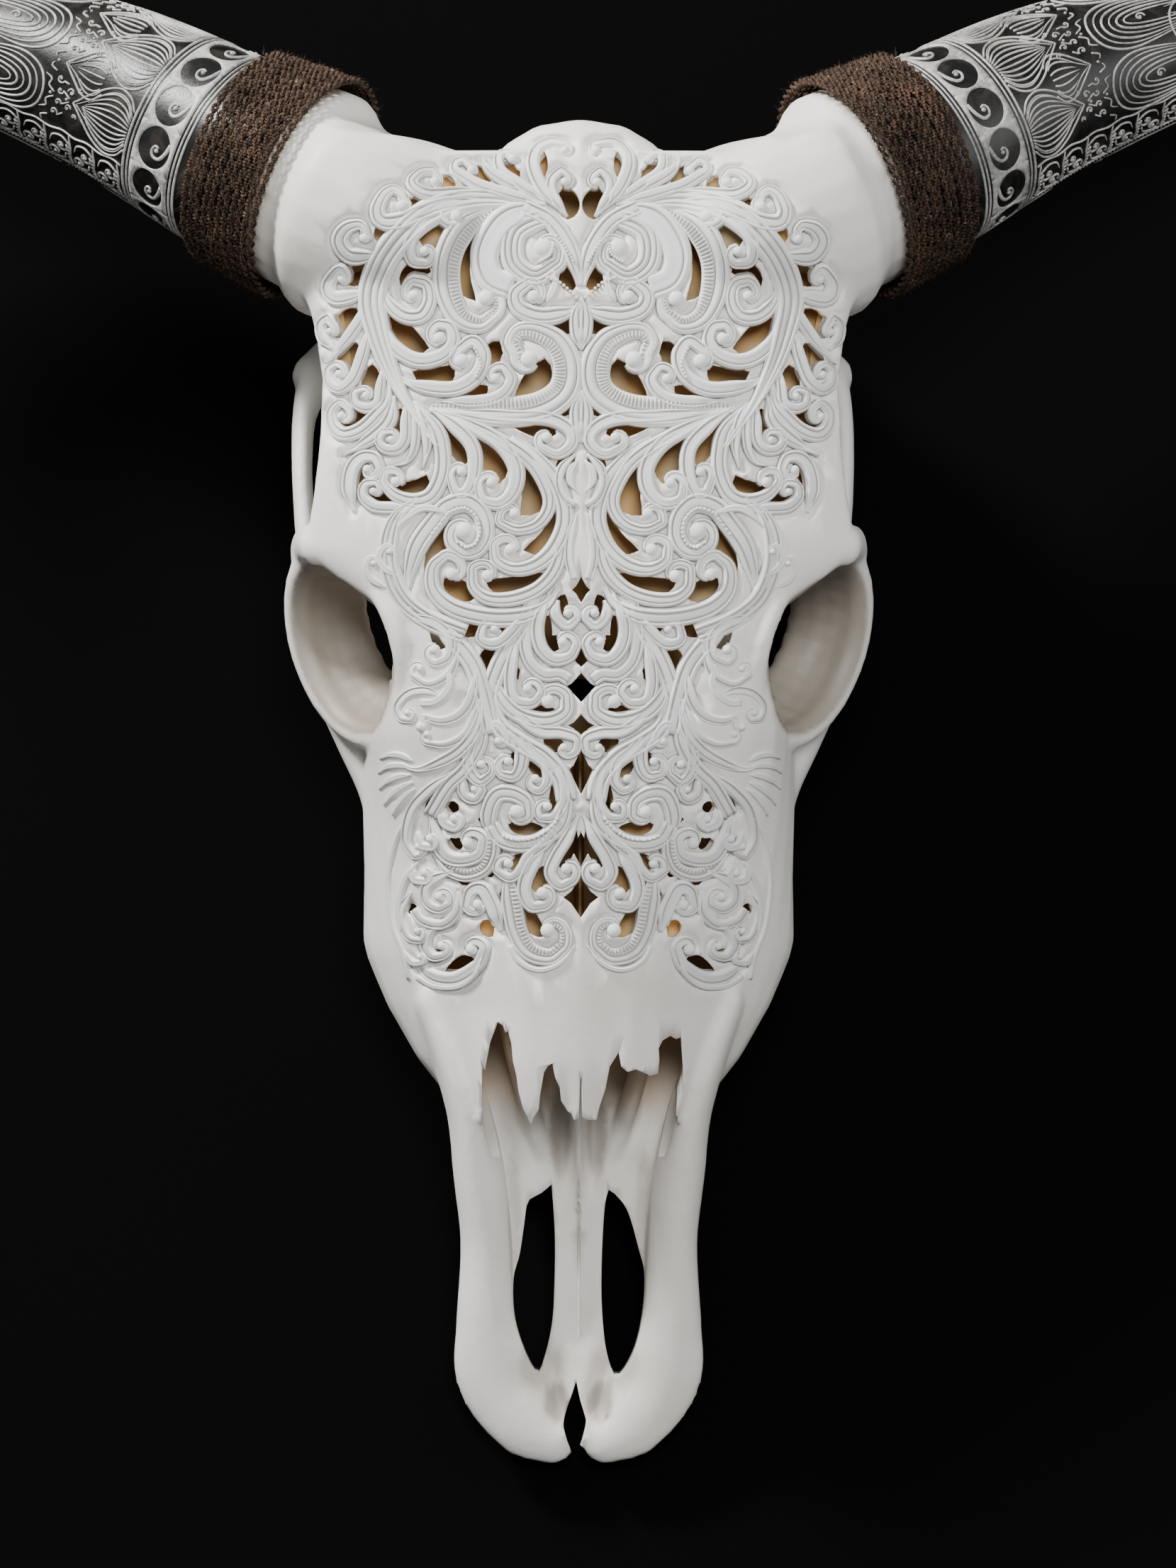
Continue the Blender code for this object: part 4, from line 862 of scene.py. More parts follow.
def keep_largest(obj):
    """Drops crumbs that hang free of the main body."""
    count = len(obj.data.vertices)
    edges = np.zeros(len(obj.data.edges) * 2, np.int32)
    obj.data.edges.foreach_get("vertices", edges)
    edges = edges.reshape(-1, 2)
    group = np.arange(count)
    while True:
        low = np.minimum(group[edges[:, 0]], group[edges[:, 1]])
        before = group.copy()
        np.minimum.at(group, edges[:, 0], low)
        np.minimum.at(group, edges[:, 1], low)
        group = group[group]
        if np.array_equal(group, before):
            break
    names, sizes = np.unique(group, return_counts=True)
    crumbs = np.flatnonzero(group != names[sizes.argmax()])
    mesh = bmesh.new()
    mesh.from_mesh(obj.data)
    mesh.verts.ensure_lookup_table()
    bmesh.ops.delete(mesh, geom=[mesh.verts[i] for i in crumbs], context="VERTS")
    mesh.to_mesh(obj.data)
    mesh.free()


skull = uncut
cut_away(skull, bone_hollows())
join_into(skull, bone_fine_parts())
remesh = skull.modifiers.new("melt", "REMESH")
remesh.mode = "VOXEL"
remesh.voxel_size = VOXEL
soften = skull.modifiers.new("soften", "SMOOTH")
soften.iterations = 2
settle(skull)
keep_largest(skull)
print("bone of", len(skull.data.polygons), "faces before it is carved")

# %% [markdown]
# ## Laying the fronds on the bone
# A picture point is moved on to the bone first: what lies deeper is seen a little smaller, so
# its distance from the middle of the picture is corrected by its depth. A frond is then a row of
# cross-sections along its middle line. Each section has a crowned top with round shoulders, fine
# grooves, and sides that go down into the plate below.

# %% From the picture on to the bone
def on_bone(points):
    """x and y in the skull's frame of points given as they are seen in the picture."""
    seen = np.asarray(points, float)
    middle = np.array(AIM)[:2]
    place = seen.copy()
    for _ in range(3):
        depth = read_grid(HEIGHTS, place[:, 0], place[:, 1])
        place = middle + (seen - middle) * (1.0 - depth / DISTANCE)[:, None]
    return place


def lifted(place, height):
    """Points at a height over the bone's skin, measured square to it."""
    x, y = place[..., 0], place[..., 1]
    normal = np.stack([-read_grid(SLOPE_X, x, y), -read_grid(SLOPE_Y, x, y), np.ones_like(x)], -1)
    normal /= np.linalg.norm(normal, axis=-1, keepdims=True)
    base = np.stack([x, y, read_grid(HEIGHTS, x, y)], -1)
    return base + normal * np.asarray(height)[..., None]


def ramp(value, low, high):
    """0 at low, 1 at high, with a smooth rise between them."""
    share = np.clip((np.asarray(value, float) - low) / (high - low), 0.0, 1.0)
    return share * share * (3.0 - 2.0 * share)

# %% The middle line of a frond, rolled up on its ball
ROLL_ANGLE = 150.0  # how far a frond turns round its ball after the last point of its line


def frond_line(spine, inset, ball):
    """Evenly spaced points on the bone, the number of the first rolled-up one, and the side of
    the line on which it rolls up."""
    line = smooth_line([(x, y, 0.0) for x, y in numbers(spine)], 60)[:, :2]
    way = np.gradient(line, axis=0)
    way /= np.linalg.norm(way, axis=1)[:, None]
    turning = way[:-1, 0] * way[1:, 1] - way[:-1, 1] * way[1:, 0]
    side = 1.0 if turning.sum() >= 0 else -1.0
    inner = side * np.column_stack([-way[:, 1], way[:, 0]])
    line = line + inset * ramp(np.linspace(0, 1, 60), 0.45, 0.75)[:, None] * inner
    rolled_from = np.linalg.norm(np.diff(line, axis=0), axis=1).sum()
    if ball:
        (middle,), radius = numbers(ball.split()[0]), float(ball.split()[1])
        spoke = line[-1] - middle
        start, reach = math.atan2(spoke[1], spoke[0]), np.hypot(*spoke)
        last = 0.45 * radius
        sweep = side * math.radians(ROLL_ANGLE)
        shares = np.linspace(0.0, 1.0, 16)[1:]
        angles = start + sweep * shares
        reaches = reach + (last - reach) * shares
        roll = middle + reaches[:, None] * np.column_stack([np.cos(angles), np.sin(angles)])
        line = np.vstack([line, roll])
    return on_bone(line), rolled_from, side

# %% The cross-sections of a frond
FROND_STEP = 0.9  # between the cross-sections of a frond
FLUTE_STEP = 0.36  # closer where it is fluted
FLUTE_PITCH = 1.45
FLUTE_DEPTH = 0.95
FROND_DEPTH = 3.6  # how far the sides reach below the bone's skin
LOW_DEPTH = 1.4  # the same in low relief
SHOULDER = 1.05  # how far the top rounds off towards its edges
# The step beside the ribbon is painted fully dark, for dust and as painted shade along its edge.
SKIRT = 0.28  # a low step beside the ribbon, where dark dust lies
DISH = 0.6  # how far the middle of a ribbon lies below its edges
GROOVE_DEPTH = 0.7
GROOVE_HALF = 0.30
# Where the grooves of each style lie, as shares of the half width.
GROOVES = {0: (), 1: (-0.45,), 2: (-0.5, 0.42), 3: (-0.55, -0.05, 0.45)}


def frond_sections(row):
    """One frond as an array of sections. sunk is how deep each point lies in a groove, and so how
    dark it is painted there, for dirt and as shade; the step beside the ribbon is painted dark
    too. The dish value is how near a point is to the middle of the ribbon, where grey-blue is
    painted as shade."""
    head, spine, ball = (cell.strip() for cell in row.split("|"))
    _, width, style, inset = head.split()
    width = float(width)
    place, rolled_from, side = frond_line(spine, float(inset), ball)
    length = np.linalg.norm(np.diff(place, axis=0), axis=1).sum()
    fluted, low = "f" in style, "l" in style
    count = max(8, int(length / (FLUTE_STEP if fluted else FROND_STEP)))
    line = smooth_line([(x, y, 0.0) for x, y in place], count)[:, :2]
    along = np.linspace(0.0, length, count)
    way = np.gradient(line, axis=0)
    way /= np.linalg.norm(way, axis=1)[:, None]
    inner = side * np.column_stack([-way[:, 1], way[:, 0]])
    wide = 0.3 + 0.7 * ramp(along, 0.0, 0.3 * rolled_from)
    if ball:
        end = 1.5 * float(ball.split()[1]) / width
        wide *= 1.0 - (1.0 - end) * ramp(along, rolled_from * 0.55, 0.95 * length)
    if "t" in style:
        wide *= 1.0 - 0.85 * ramp(along, 0.55 * length, length)
    half = 0.5 * width * wide
    grooves = GROOVES[int(style[0])] if not fluted else (-0.6, 0.08)
    u = {-1.0, -0.93, -0.8, -0.62, -0.25, 0.0, 0.25, 0.62, 0.8, 0.93, 1.0}
    for groove in grooves:
        u |= {round(groove + step * GROOVE_HALF / (0.5 * width), 3) for step in (-1.1, 0.0, 1.1)}
    if fluted:
        u |= {0.3, 0.42, 0.68}
    u = np.array(sorted(u))
    crown = 0.35 * (1 - u**2) - SHOULDER * ramp(np.abs(u), 0.74, 1.0) * np.abs(u)
    crown -= DISH * min(1.0, width / 5.0) * np.exp(-((u / 0.45) ** 2))
    height = np.tile(crown, (count, 1))
    sunk = np.zeros_like(height)
    for groove in grooves:
        reach = (u[None, :] - groove) * 0.5 * width / GROOVE_HALF
        sunk += np.exp(-(reach**2)) * ramp(wide, 0.35, 0.7)[:, None]
    height -= GROOVE_DEPTH * np.minimum(sunk, 1.0)
    if fluted:
        ribs = 0.5 + 0.5 * np.cos(2 * math.pi * along / FLUTE_PITCH)
        band = ramp(u, 0.16, 0.3) * (1 - ramp(u, 0.85, 0.97))
        height -= FLUTE_DEPTH * ribs[:, None] * band[None, :]
        sunk += 0.8 * ribs[:, None] * band[None, :]
    rise = 0.25 - 1.1 * (1 - ramp(along, 0.0, 0.25 * rolled_from))
    rise -= 0.5 * ramp(along, rolled_from, length)
    if low:
        height *= 0.9
        rise = 0.55 * ramp(along, 0, 0.2 * length) * (1 - 0.4 * ramp(along, rolled_from, length))
    height = height + np.broadcast_to(rise, (count,))[:, None]
    depth = LOW_DEPTH if low else FROND_DEPTH
    reach = u[None, :] * half[:, None]
    skirt = half[:, None] + SKIRT
    reach = np.hstack([-skirt, -skirt, reach, skirt, skirt])
    foot = np.full((count, 1), -depth)
    edge = np.ones((count, 1))
    height = np.hstack([foot, height[:, :1] - 0.5, height, height[:, -1:] - 0.5, foot])
    # Grooves, flutes and the step beside the ribbon are painted dark, for dirt and as painted
    # shade.
    sunk = np.hstack([edge * 0.6, edge, np.clip(sunk, 0, 1), edge, edge * 0.6])
    # How near each point is to the middle of the ribbon: the dished middle is painted grey-blue as
    # shade.
    dish = np.exp(-((reach / half[:, None] / 0.5) ** 2)) * ramp(wide, 0.4, 0.8)[:, None]
    across = line[:, None, :] + inner[:, None, :] * reach[:, :, None]
    return {
        "style": style, "points": lifted(across, height), "sunk": sunk, "dish": dish,
        "line": line, "half": half, "inner": inner, "along": along, "ball": ball, "low": low,
    }


fronds = [frond_sections(row) for row in FROND_ROWS]
print("sections:", sum(len(f["line"]) for f in fronds))

# %% [markdown]
# ## Sinking the ground
# The ground under the fronds is sunk, as a carver does, so that the fronds stand clear of it. The
# nearer a point of the bone lies to a ribbon, the lower it goes. Moving the points of the mesh is
# enough for that, as the drop is shallow, and it keeps the skin in one piece.

# %% Sink the ground
GROUND_DEPTH = 2.6
CARVED_FROM, CARVED_TO = 158, 458  # the rows of the face that carry deep carving
SKIN = 2.2  # what lies no deeper than this under the uncut face is its skin


def carved_marks():
    """Points on all ribbons that stand clear of their ground, to measure distances from."""
    marks = []
    for frond in fronds:
        if frond["low"]:
            continue
        for share in (-0.8, -0.4, 0.0, 0.4, 0.8):
            marks.append(frond["line"] + frond["inner"] * (share * frond["half"])[:, None])
    return np.concatenate(marks)


marks = carved_marks()
tree = KDTree(len(marks))
for number, (x, y) in enumerate(marks):
    tree.insert((x, y, 0.0), number)
tree.balance()

ground = np.zeros_like(HEIGHTS)
for i, x in enumerate(GRID_X):
    if x < 0:
        continue
    for j, y in enumerate(GRID_Y):
        if CARVED_FROM < y < CARVED_TO:
            ground[i, j] = tree.find((x, y, 0.0))[2]
        else:
            ground[i, j] = 99.0
half = len(GRID_X) // 2
ground[:half] = ground[:half:-1]
ground = GROUND_DEPTH * (1.0 - ramp(ground, 0.7, 1.9))


def vertex_array(mesh):
    """The mesh's points as rows."""
    points = np.empty(len(mesh.vertices) * 3)
    mesh.vertices.foreach_get("co", points)
    return points.reshape(-1, 3)

# %% Lower the points of the bone
points = vertex_array(skull.data)
on_front = np.abs(points[:, 2] - read_grid(HEIGHTS, *points[:, :2].T)) < SKIN
steep = np.hypot(*(read_grid(slope, *points[:, :2].T) for slope in (SLOPE_X, SLOPE_Y)))
points[:, 2] -= read_grid(ground, *points[:, :2].T) * on_front * (1 - ramp(steep, 0.9, 1.8))
# Shallow hollows on both sides of the muzzle: x, y, half lengths across and along, depth.
DENTS = (
    (13, 22, 9, 9, 3.0), (7, 12, 5, 7, 3.0), (5.5, 112, 3.2, 15, 3.2), (15, 104, 4, 12, 1.8),
    (25, 60, 3, 22, 1.2), (36, 160, 7, 20, 0.9), (12, 150, 5, 22, 0.5), (58, 215, 9, 18, 1.0),
)
for x, y, wide, tall, deep in DENTS:
    near = ((np.abs(points[:, 0]) - x) / wide) ** 2 + ((points[:, 1] - y) / tall) ** 2
    low = -82.0 if y < 130 else -40.0
    points[:, 2] -= deep * np.exp(-near) * (points[:, 2] > low)
skull.data.vertices.foreach_set("co", points.ravel())
print("ground sunk over", int(on_front.sum()), "of", len(points), "points")

# %% [markdown]
# ## Drilling the holes
# Each crescent is cut right through the plate by a leaf-shaped prism that follows the curved skin,
# and all prisms go into one Boolean, which is much quicker than a hundred. The nose is cut in the
# same pass: its bones broke off in a ragged line that is different on the two sides, and that line
# was traced point by point.

# %% What is cut through
HOLE_SPARE = 2.3  # holes run a little way under the fronds, whose sides then make their edges
# The ragged front edge of the nasal bones and its two sides, the slots of the palate, the slit
# between them and the notch of the tip: depth seen at, top and bottom of the cut | outline.
DEEP_CUTS = """
-20 10 -38 | -33.2,106 -33,118 -32.7,135 -31,144 -28.4,151 -26.6,150 -25.7,147.5 -24.9,148.2
 -23.7,143.9 -23.2,138 -21.9,132.5 -21.2,127 -19.6,121.1 -18.2,118.6 -17,115.8 -16.2,118
 -14.3,121.1 -13.9,126 -12.5,134 -11.2,136.2 -9.7,137.1 -8.6,132 -7.1,128.7 -6.6,124 -4.4,120.4
 -3,119.4 -2.1,117.3 -0.6,118 -0.1,132 0.3,132 0.6,118.4 1.8,117.6 3.2,117.3 5.5,117.3 6.6,122
 8.5,128 10,136 13.1,140.9 14,136 16.1,134.1 19,134.9 22,133.7 24,132.6 26.7,133.3 27.2,138
 26.9,142 28.3,144.7 31,146.2 33,145 34.8,145.5 35.6,135 35.2,118 34,106
-40 -30 -57 | -33.4,136 -33.5,126 -33.3,118 -32.6,113 -31.4,108.5 -30,104 -27,104 -28,118
 -30.3,134
-40 -30 -57 | 33.4,136 33.3,126 33,118 32.2,113 31,108.5 29.6,104 27,104 28,118 30.3,134
-78 -66 -92 | -9.1,95.8 -13,92.6 -17.2,90 -18.6,82 -20.1,72 -22.2,63.7 -21.8,51 -18.4,39.4
 -14,31.6 -11.4,37 -9,48 -8.2,60 -8,78
-78 -66 -92 | 10.4,93.9 13,92 17,86.4 20.6,74 22.7,64.4 21.6,50 18.3,37.6 13,30.4 9.6,38.8 8,54
 8,71 9,88
-76 -66 -76.5 | -0.3,88 0.5,88 0.6,60 0.4,44 -0.4,44 -0.2,60
-73 -60 -90 | -0.8,28.6 0.6,22 1.8,18 2.6,14 1.2,8 -0.5,3 -0.2,-6 -2.4,-6 -2.4,3 -4,8 -5.2,13.5
 -4,19 -2.4,23.5
"""


def leaf_outline(start, middle, end, width):
    """A crescent with pointed ends along the curve through three points."""
    a, b, c = (np.array(p, float) for p in (start, middle, end))
    control = 2 * b - 0.5 * (a + c)
    left, right = [], []
    for t in np.linspace(0.0, 1.0, 11):
        point = (1 - t) ** 2 * a + 2 * t * (1 - t) * control + t**2 * c
        way = 2 * (1 - t) * (control - a) + 2 * t * (c - control)
        normal = np.array((-way[1], way[0])) / np.hypot(*way)
        wide = 0.5 * (width + HOLE_SPARE) * math.sin(math.pi * t) ** 0.6
        left.append(point + wide * normal)
        right.append(point - wide * normal)
    return np.array([*left, *right[9:0:-1]])

# %% Drill the holes
SMOOTH_BELOW = -50  # cuts that are seen deeper than this have smooth outlines
# The corners of a lozenge, as shares of half its width and height.
LOZENGE = (
    (0, 1), (-0.55, 0.3), (-1, 0), (-0.55, -0.3), (0, -1), (0.55, -0.3), (1, 0), (0.55, 0.3),
)


def prisms_to_cut():
    """Each hole as its outline on the bone, with the heights of its top and bottom."""
    outlines = []
    for start, middle, end, width in HOLES:
        right = leaf_outline(*(numbers(p)[0] for p in (start, middle, end)), float(width))
        outlines += [right, (right * (-1, 1))[::-1]]
    for y, width, height in numbers(LOZENGES):
        w, h = width / 2, height / 2
        outlines.append(np.array([(w * u, y + h * v) for u, v in LOZENGE]))
    prisms = []
    for outline in outlines:
        place = on_bone(outline)
        skin = read_grid(HEIGHTS, place[:, 0], place[:, 1])
        prisms.append((place, skin + 4.0, skin - 10.5))
    middle = np.array(AIM)[:2]
    for cut in DEEP_CUTS.replace("\n ", " ").strip().split("\n"):
        head, outline = cut.split("|")
        depth, top, bottom = map(float, head.split())
        seen = np.array(numbers(outline))
        if depth < SMOOTH_BELOW:
            seen = smooth_line([(x, y, 0.0) for x, y in [*seen, seen[0]]], 60)[:-1, :2]
        place = middle + (seen - middle) * (1.0 - depth / DISTANCE)
        flat = np.ones(len(place))
        prisms.append((place, flat * top, flat * bottom))
    return prisms


def faced_outwards(name, points, faces, triangles=False):
    """A linked object whose normals point outwards, cut into triangles if that is set."""
    data = bpy.data.meshes.new(name)
    data.from_pydata(points, [], faces)
    form = bmesh.new()
    form.from_mesh(data)
    bmesh.ops.recalc_face_normals(form, faces=form.faces)
    if triangles:
        bmesh.ops.triangulate(form, faces=form.faces)
    form.to_mesh(data)
    form.free()
    made = bpy.data.objects.new(name, data)
    PARTS.objects.link(made)
    return made


def drill():
    """All holes as one mesh of closed prisms."""
    points, faces = [], []
    for place, tops, bottoms in prisms_to_cut():
        count, first = len(place), len(points)
        points += [(x, y, z) for (x, y), z in zip(place, tops)]
        points += [(x, y, z) for (x, y), z in zip(place, bottoms)]
        faces.append([first + i for i in range(count)])
        faces.append([first + count + i for i in range(count)][::-1])
        for i in range(count):
            j = (i + 1) % count
            faces.append([first + j, first + i, first + count + i, first + count + j])
    return faced_outwards("drill", points, faces, triangles=True)


BONE_TRIANGLES = 148000
thin_out(skull, BONE_TRIANGLES)
cut_away(skull, drill(), crossing=True)
keep_largest(skull)
print("bone of", len(skull.data.polygons), "faces with its holes")

# %% [markdown]
# ## The finish of bone
# Scraped and bleached bone isn't one white. The carved field is a cool white, the plain bosses
# and the muzzle are creamier with faint beige clouds, the grooves hold a little brown dirt and
# painted shade, and the hollow behind the holes keeps the tan of old marrow. Clouds and pores come
# from noise. Where the colour changes for a reason, such as a groove or an eye socket, it follows
# values that are painted on the mesh further on: some are real stains and dirt, and some are
# painted shade, in the grooves, in the dished middles of the ribbons, in the eye sockets, in the
# hollows of the muzzle and under the cord. Fine pores show at close range as a very shallow bump.

# %% Bone
COOL_WHITE = (0.87, 0.87, 0.85, 1.0)
CREAM_WHITE = (0.88, 0.85, 0.80, 1.0)
BEIGE = (0.68, 0.60, 0.50, 1.0)
# Grey-blue is a random tone in blotches and painted shade in the dished middles of ribbons.
GREY_BLUE = (0.60, 0.62, 0.61, 1.0)
# Dark brown for groove dirt and for painted shade in grooves, beside ribbons and under the cord.
GROOVE_DIRT_AND_SHADE = (0.20, 0.15, 0.10, 1.0)
MARROW_TAN = (0.80, 0.50, 0.21, 1.0)
MARROW_GREY = (0.60, 0.45, 0.25, 1.0)
# A dark tan for real stains and for painted shade in the eye sockets and muzzle hollows.
TAN_STAIN_AND_SHADE = (0.25, 0.21, 0.16, 1.0)

bone = Finish("bone")
bone.shader.inputs["IOR"].default_value = 1.5
clouds = bone.noise(14.0, 5.0, 0.6)
blotches = bone.noise(42.0, 4.0, 0.6)
pores = bone.noise(900.0, 3.0, 0.6)
carved = bone.painted("carved")
inside = bone.painted("inside")
stain_and_shade = bone.painted("stain_and_shade")
groove = bone.painted("groove")
dish = bone.painted("dish")

# %% How the whites, browns and tans meet
plain = bone.mix(clouds.step(0.42, 0.72) * 0.4, CREAM_WHITE, BEIGE)
# The dished middle of each ribbon is painted grey-blue and less creamy, as shade; blotches are
# real.
grey_blotch_and_shade_share = blotches.step(0.45, 0.75) * 0.25 + dish * (0.1 + 0.4 * clouds)
cool = bone.mix(grey_blotch_and_shade_share, COOL_WHITE, GREY_BLUE)
warm_share = clouds.step(0.5, 0.7) * 0.35 * (1 - dish)
cool = bone.mix(warm_share, cool, CREAM_WHITE)
skin = bone.mix(carved, plain, cool)
# Painted dirt and shade in the grooves and beside the ribbons, and painted shade under the cord.
skin = bone.mix(groove.power(1.2) * 0.85, skin, GROOVE_DIRT_AND_SHADE)
marrow = bone.mix(blotches.step(0.4, 0.62), MARROW_TAN, MARROW_GREY)
colour = bone.mix(inside, skin, marrow)
# Real stains, and painted shade in the eye sockets, the hollows of the muzzle and the palate's
# slit.
colour = bone.mix(stain_and_shade * (0.75 + 0.25 * clouds), colour, TAN_STAIN_AND_SHADE)
grain = bone.noise(260.0, 4.0, 0.6)
relief = bone.bump(pores * 0.4 + grain * 0.6, 0.00022, 0.5)
bone_paint = bone.ends(
    Base_Color=colour, Roughness=0.42 + blotches * 0.22 + inside * 0.25, Normal=relief
)

# %% [markdown]
# ## Fronds, balls and beads as meshes
# The right half is skinned, mirrored for the left, and grouped by the part of the face, so that
# no piece gets too heavy. Each vertex keeps how deep it lies in a groove and how near it lies to
# the middle of its ribbon. The finish darkens the grooves and the step beside each ribbon, for the
# dust and old polish that collect there and as painted shade, and paints the dished middle
# grey-blue as shade.

# %% What every piece needs
def mesh_piece(name, points, faces):
    """A smooth object on the table from points in skull millimetres and faces."""
    made = faced_outwards(name, lay_down(points).tolist(), faces)
    made.data.shade_smooth()
    return made


def paint(obj, name, values):
    """Keeps one value for each vertex of a mesh."""
    layer = obj.data.attributes.new(name, "FLOAT", "POINT")
    layer.data.foreach_set("value", np.ascontiguousarray(values, dtype=np.float32))


def place_piece(obj, slot, *nodes):
    """Binds a finished piece to the frame."""
    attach(obj, "root")
    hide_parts(*nodes)


def skin_faces(rows, around):
    """Quads between rings of points."""
    i, j = np.meshgrid(np.arange(rows - 1), np.arange(around), indexing="ij")
    k = (j + 1) % around
    quads = np.stack([i * around + j, i * around + k, (i + 1) * around + k, (i + 1) * around + j])
    return quads.reshape(4, -1).T

# %% Skins, balls and heaps
def open_skin(rows, around):
    """Quads between sections that are open at the back, and a cap at each end."""
    i, j = np.meshgrid(np.arange(rows - 1), np.arange(around - 1), indexing="ij")
    quads = np.stack(
        [i * around + j, i * around + j + 1, (i + 1) * around + j + 1, (i + 1) * around + j]
    )
    faces = quads.reshape(4, -1).T.tolist()
    faces.append(list(range(around)))
    faces.append(list(range((rows - 1) * around, rows * around)))
    return faces


BALL_POINTS, BALL_FACES = unit_ball()


def knob(x, y, radius, flat, lift):
    """A flattened ball half sunk in the bone."""
    place = np.array([[x, y]])
    centre = lifted(place, np.array([lift]))[0]
    return BALL_POINTS * (radius, radius, flat) + centre


class Heap:
    """Meshes gathered into one piece, with two painted values for each point."""

    def __init__(self):
        self.points, self.faces, self.sunk, self.dish, self.count = [], [], [], [], 0

    def add(self, points, faces, sunk, dish=0.0):
        """Adds a mesh of the right half and its mirror image."""
        points = points.reshape(-1, 3)
        for side in (1, -1):
            self.points.append(points * (side, 1, 1))
            self.faces += [[self.count + i for i in face[::side]] for face in faces]
            self.sunk.append(np.broadcast_to(np.ravel(sunk), len(points)))
            self.dish.append(np.broadcast_to(np.ravel(dish), len(points)))
            self.count += len(points)

# %% Gather the right half and its mirror image
heaps = {"forehead": Heap(), "temples": Heap(), "face": Heap()}
for frond in fronds:
    middle = frond["line"].mean(0)
    where = "face" if middle[1] < 292 else ("temples" if middle[0] > 44 else "forehead")
    heap = heaps[where]
    rows, around = frond["points"].shape[:2]
    heap.add(frond["points"], open_skin(rows, around), frond["sunk"], frond["dish"])
    if frond["ball"]:
        place, radius = frond["ball"].split()
        radius = float(radius)
        x, y = on_bone(numbers(place))[0]
        lift = 0.1 if frond["low"] else -0.5
        heap.add(knob(x, y, radius, 0.7 + 0.32 * radius, lift), BALL_FACES, 0.0)
    beads = {"b": 0.62, "B": -0.72}.get(frond["style"][-1])
    if beads is not None:
        spaced = np.arange(0.3 * frond["along"][-1], 0.86 * frond["along"][-1], 1.75)
        for distance in spaced:
            i = int(np.searchsorted(frond["along"], distance))
            x, y = frond["line"][i] + frond["inner"][i] * frond["half"][i] * beads
            heap.add(knob(x, y, 0.66, 0.66, 0.3), BALL_FACES, 0.1)

# %% Loose rows of beads, and the three pieces
BEAD_ROWS = (
    "8.4,420.6 6.4,418.4 4.6,415.6 2.6,412.2", "1.6,399.6 4,402 7.6,405 11.4,406.4",
    "36,372.5 34.4,377 36.4,382", "14,412 10.6,414.4 9.4,418",
)
for row in BEAD_ROWS:
    for x, y, _ in smooth_line([(*point, 0.0) for point in on_bone(numbers(row))], 9):
        heaps["forehead"].add(knob(x, y, 0.62, 0.7, 0.35), BALL_FACES, 0.1)

for word, heap in heaps.items():
    scrolls = mesh_piece(f"scrolls_{word}", np.concatenate(heap.points), heap.faces)
    paint(scrolls, "groove", np.concatenate(heap.sunk))
    paint(scrolls, "dish", np.concatenate(heap.dish))
    paint(scrolls, "carved", np.ones(heap.count))
    scrolls.data.materials.append(bone_paint)
    place_piece(scrolls, "bone", "skull")
    triangles = sum(len(face) - 2 for face in heap.faces)
    print("scrolls", word, "of", triangles, "triangles")

# %% [markdown]
# ## Values painted on the bone
# The finish has to know how deep a point lies inside the uncut form, how much it was carved, and
# where it is stained or painted with shade. The bone's points keep these as values, which stay
# with the bone wherever it goes. The eye sockets are painted dark tan all round their axis, partly
# as their stain and partly as painted shade, and painted shade darkens the bone under the cord.

# %% How deep inside, and the stains
# Each stain or patch of painted shade of the right half is a soft blob: middle, three radii,
# strength. Some are real stains, such as the brown valley beside the middle bar, and some are
# painted shade, such as the dark hollows at the nose tip and the dark line of the palate's slit.
STAINS_AND_SHADE = (
    (6.5, 110, -76, 4.5, 20, 16, 0.75), (17, 128, -62, 10, 22, 26, 0.5),
    (13, 26, -68, 9, 11, 9, 0.4),
    (31, 128, -55, 6, 28, 20, 0.5), (70, 440, -20, 26, 16, 20, 0.13),
    (8, 12, -74, 6, 8, 10, 0.8), (23, 82, -70, 3.4, 28, 13, 0.4), (0, 74, -70, 1.3, 24, 9, 0.8),
)
points = vertex_array(skull.data)
folded = np.column_stack([np.abs(points[:, 0]), points[:, 1:]])  # both halves as the right one
inside = np.zeros(len(points))
for number, point in enumerate(points):
    near, normal, _, distance = OUTER.find_nearest(Vector(point))
    if (Vector(point) - near).dot(normal) < 0:
        inside[number] = distance
inside = ramp(inside, 3.2, 6.0) * (0.45 + 0.55 * ramp(points[:, 1], 118.0, 165.0))
inside *= ramp(points[:, 1], 108.0, 128.0)
stain_and_shade = np.zeros(len(points))
for x, y, z, *radii, strength in STAINS_AND_SHADE:
    away = (folded - (x, y, z)) / np.array(radii)
    stain_and_shade = np.maximum(stain_and_shade, strength * (1.0 - ramp(np.linalg.norm(away, axis=1), 0.7, 1.1)))

# %% Paint them and place the bone
def from_axis(foot, way):
    """Distance of each point along an axis of the right half, and its distance from it."""
    there = folded - np.array(foot)
    along = there @ np.array(way)
    return along, np.linalg.norm(there - along[:, None] * np.array(way), axis=1)


# The eye sockets: their tan wall, darkened further as painted shade.
along, away = from_axis(EYE, EYE_WAY)
stain_and_shade = np.maximum(stain_and_shade, (1.0 - ramp(away, 31.0, 33.5)) * (along < 9.0) * (along > -48.0))
along, away = from_axis(HORN_FOOT, HORN_WAY)
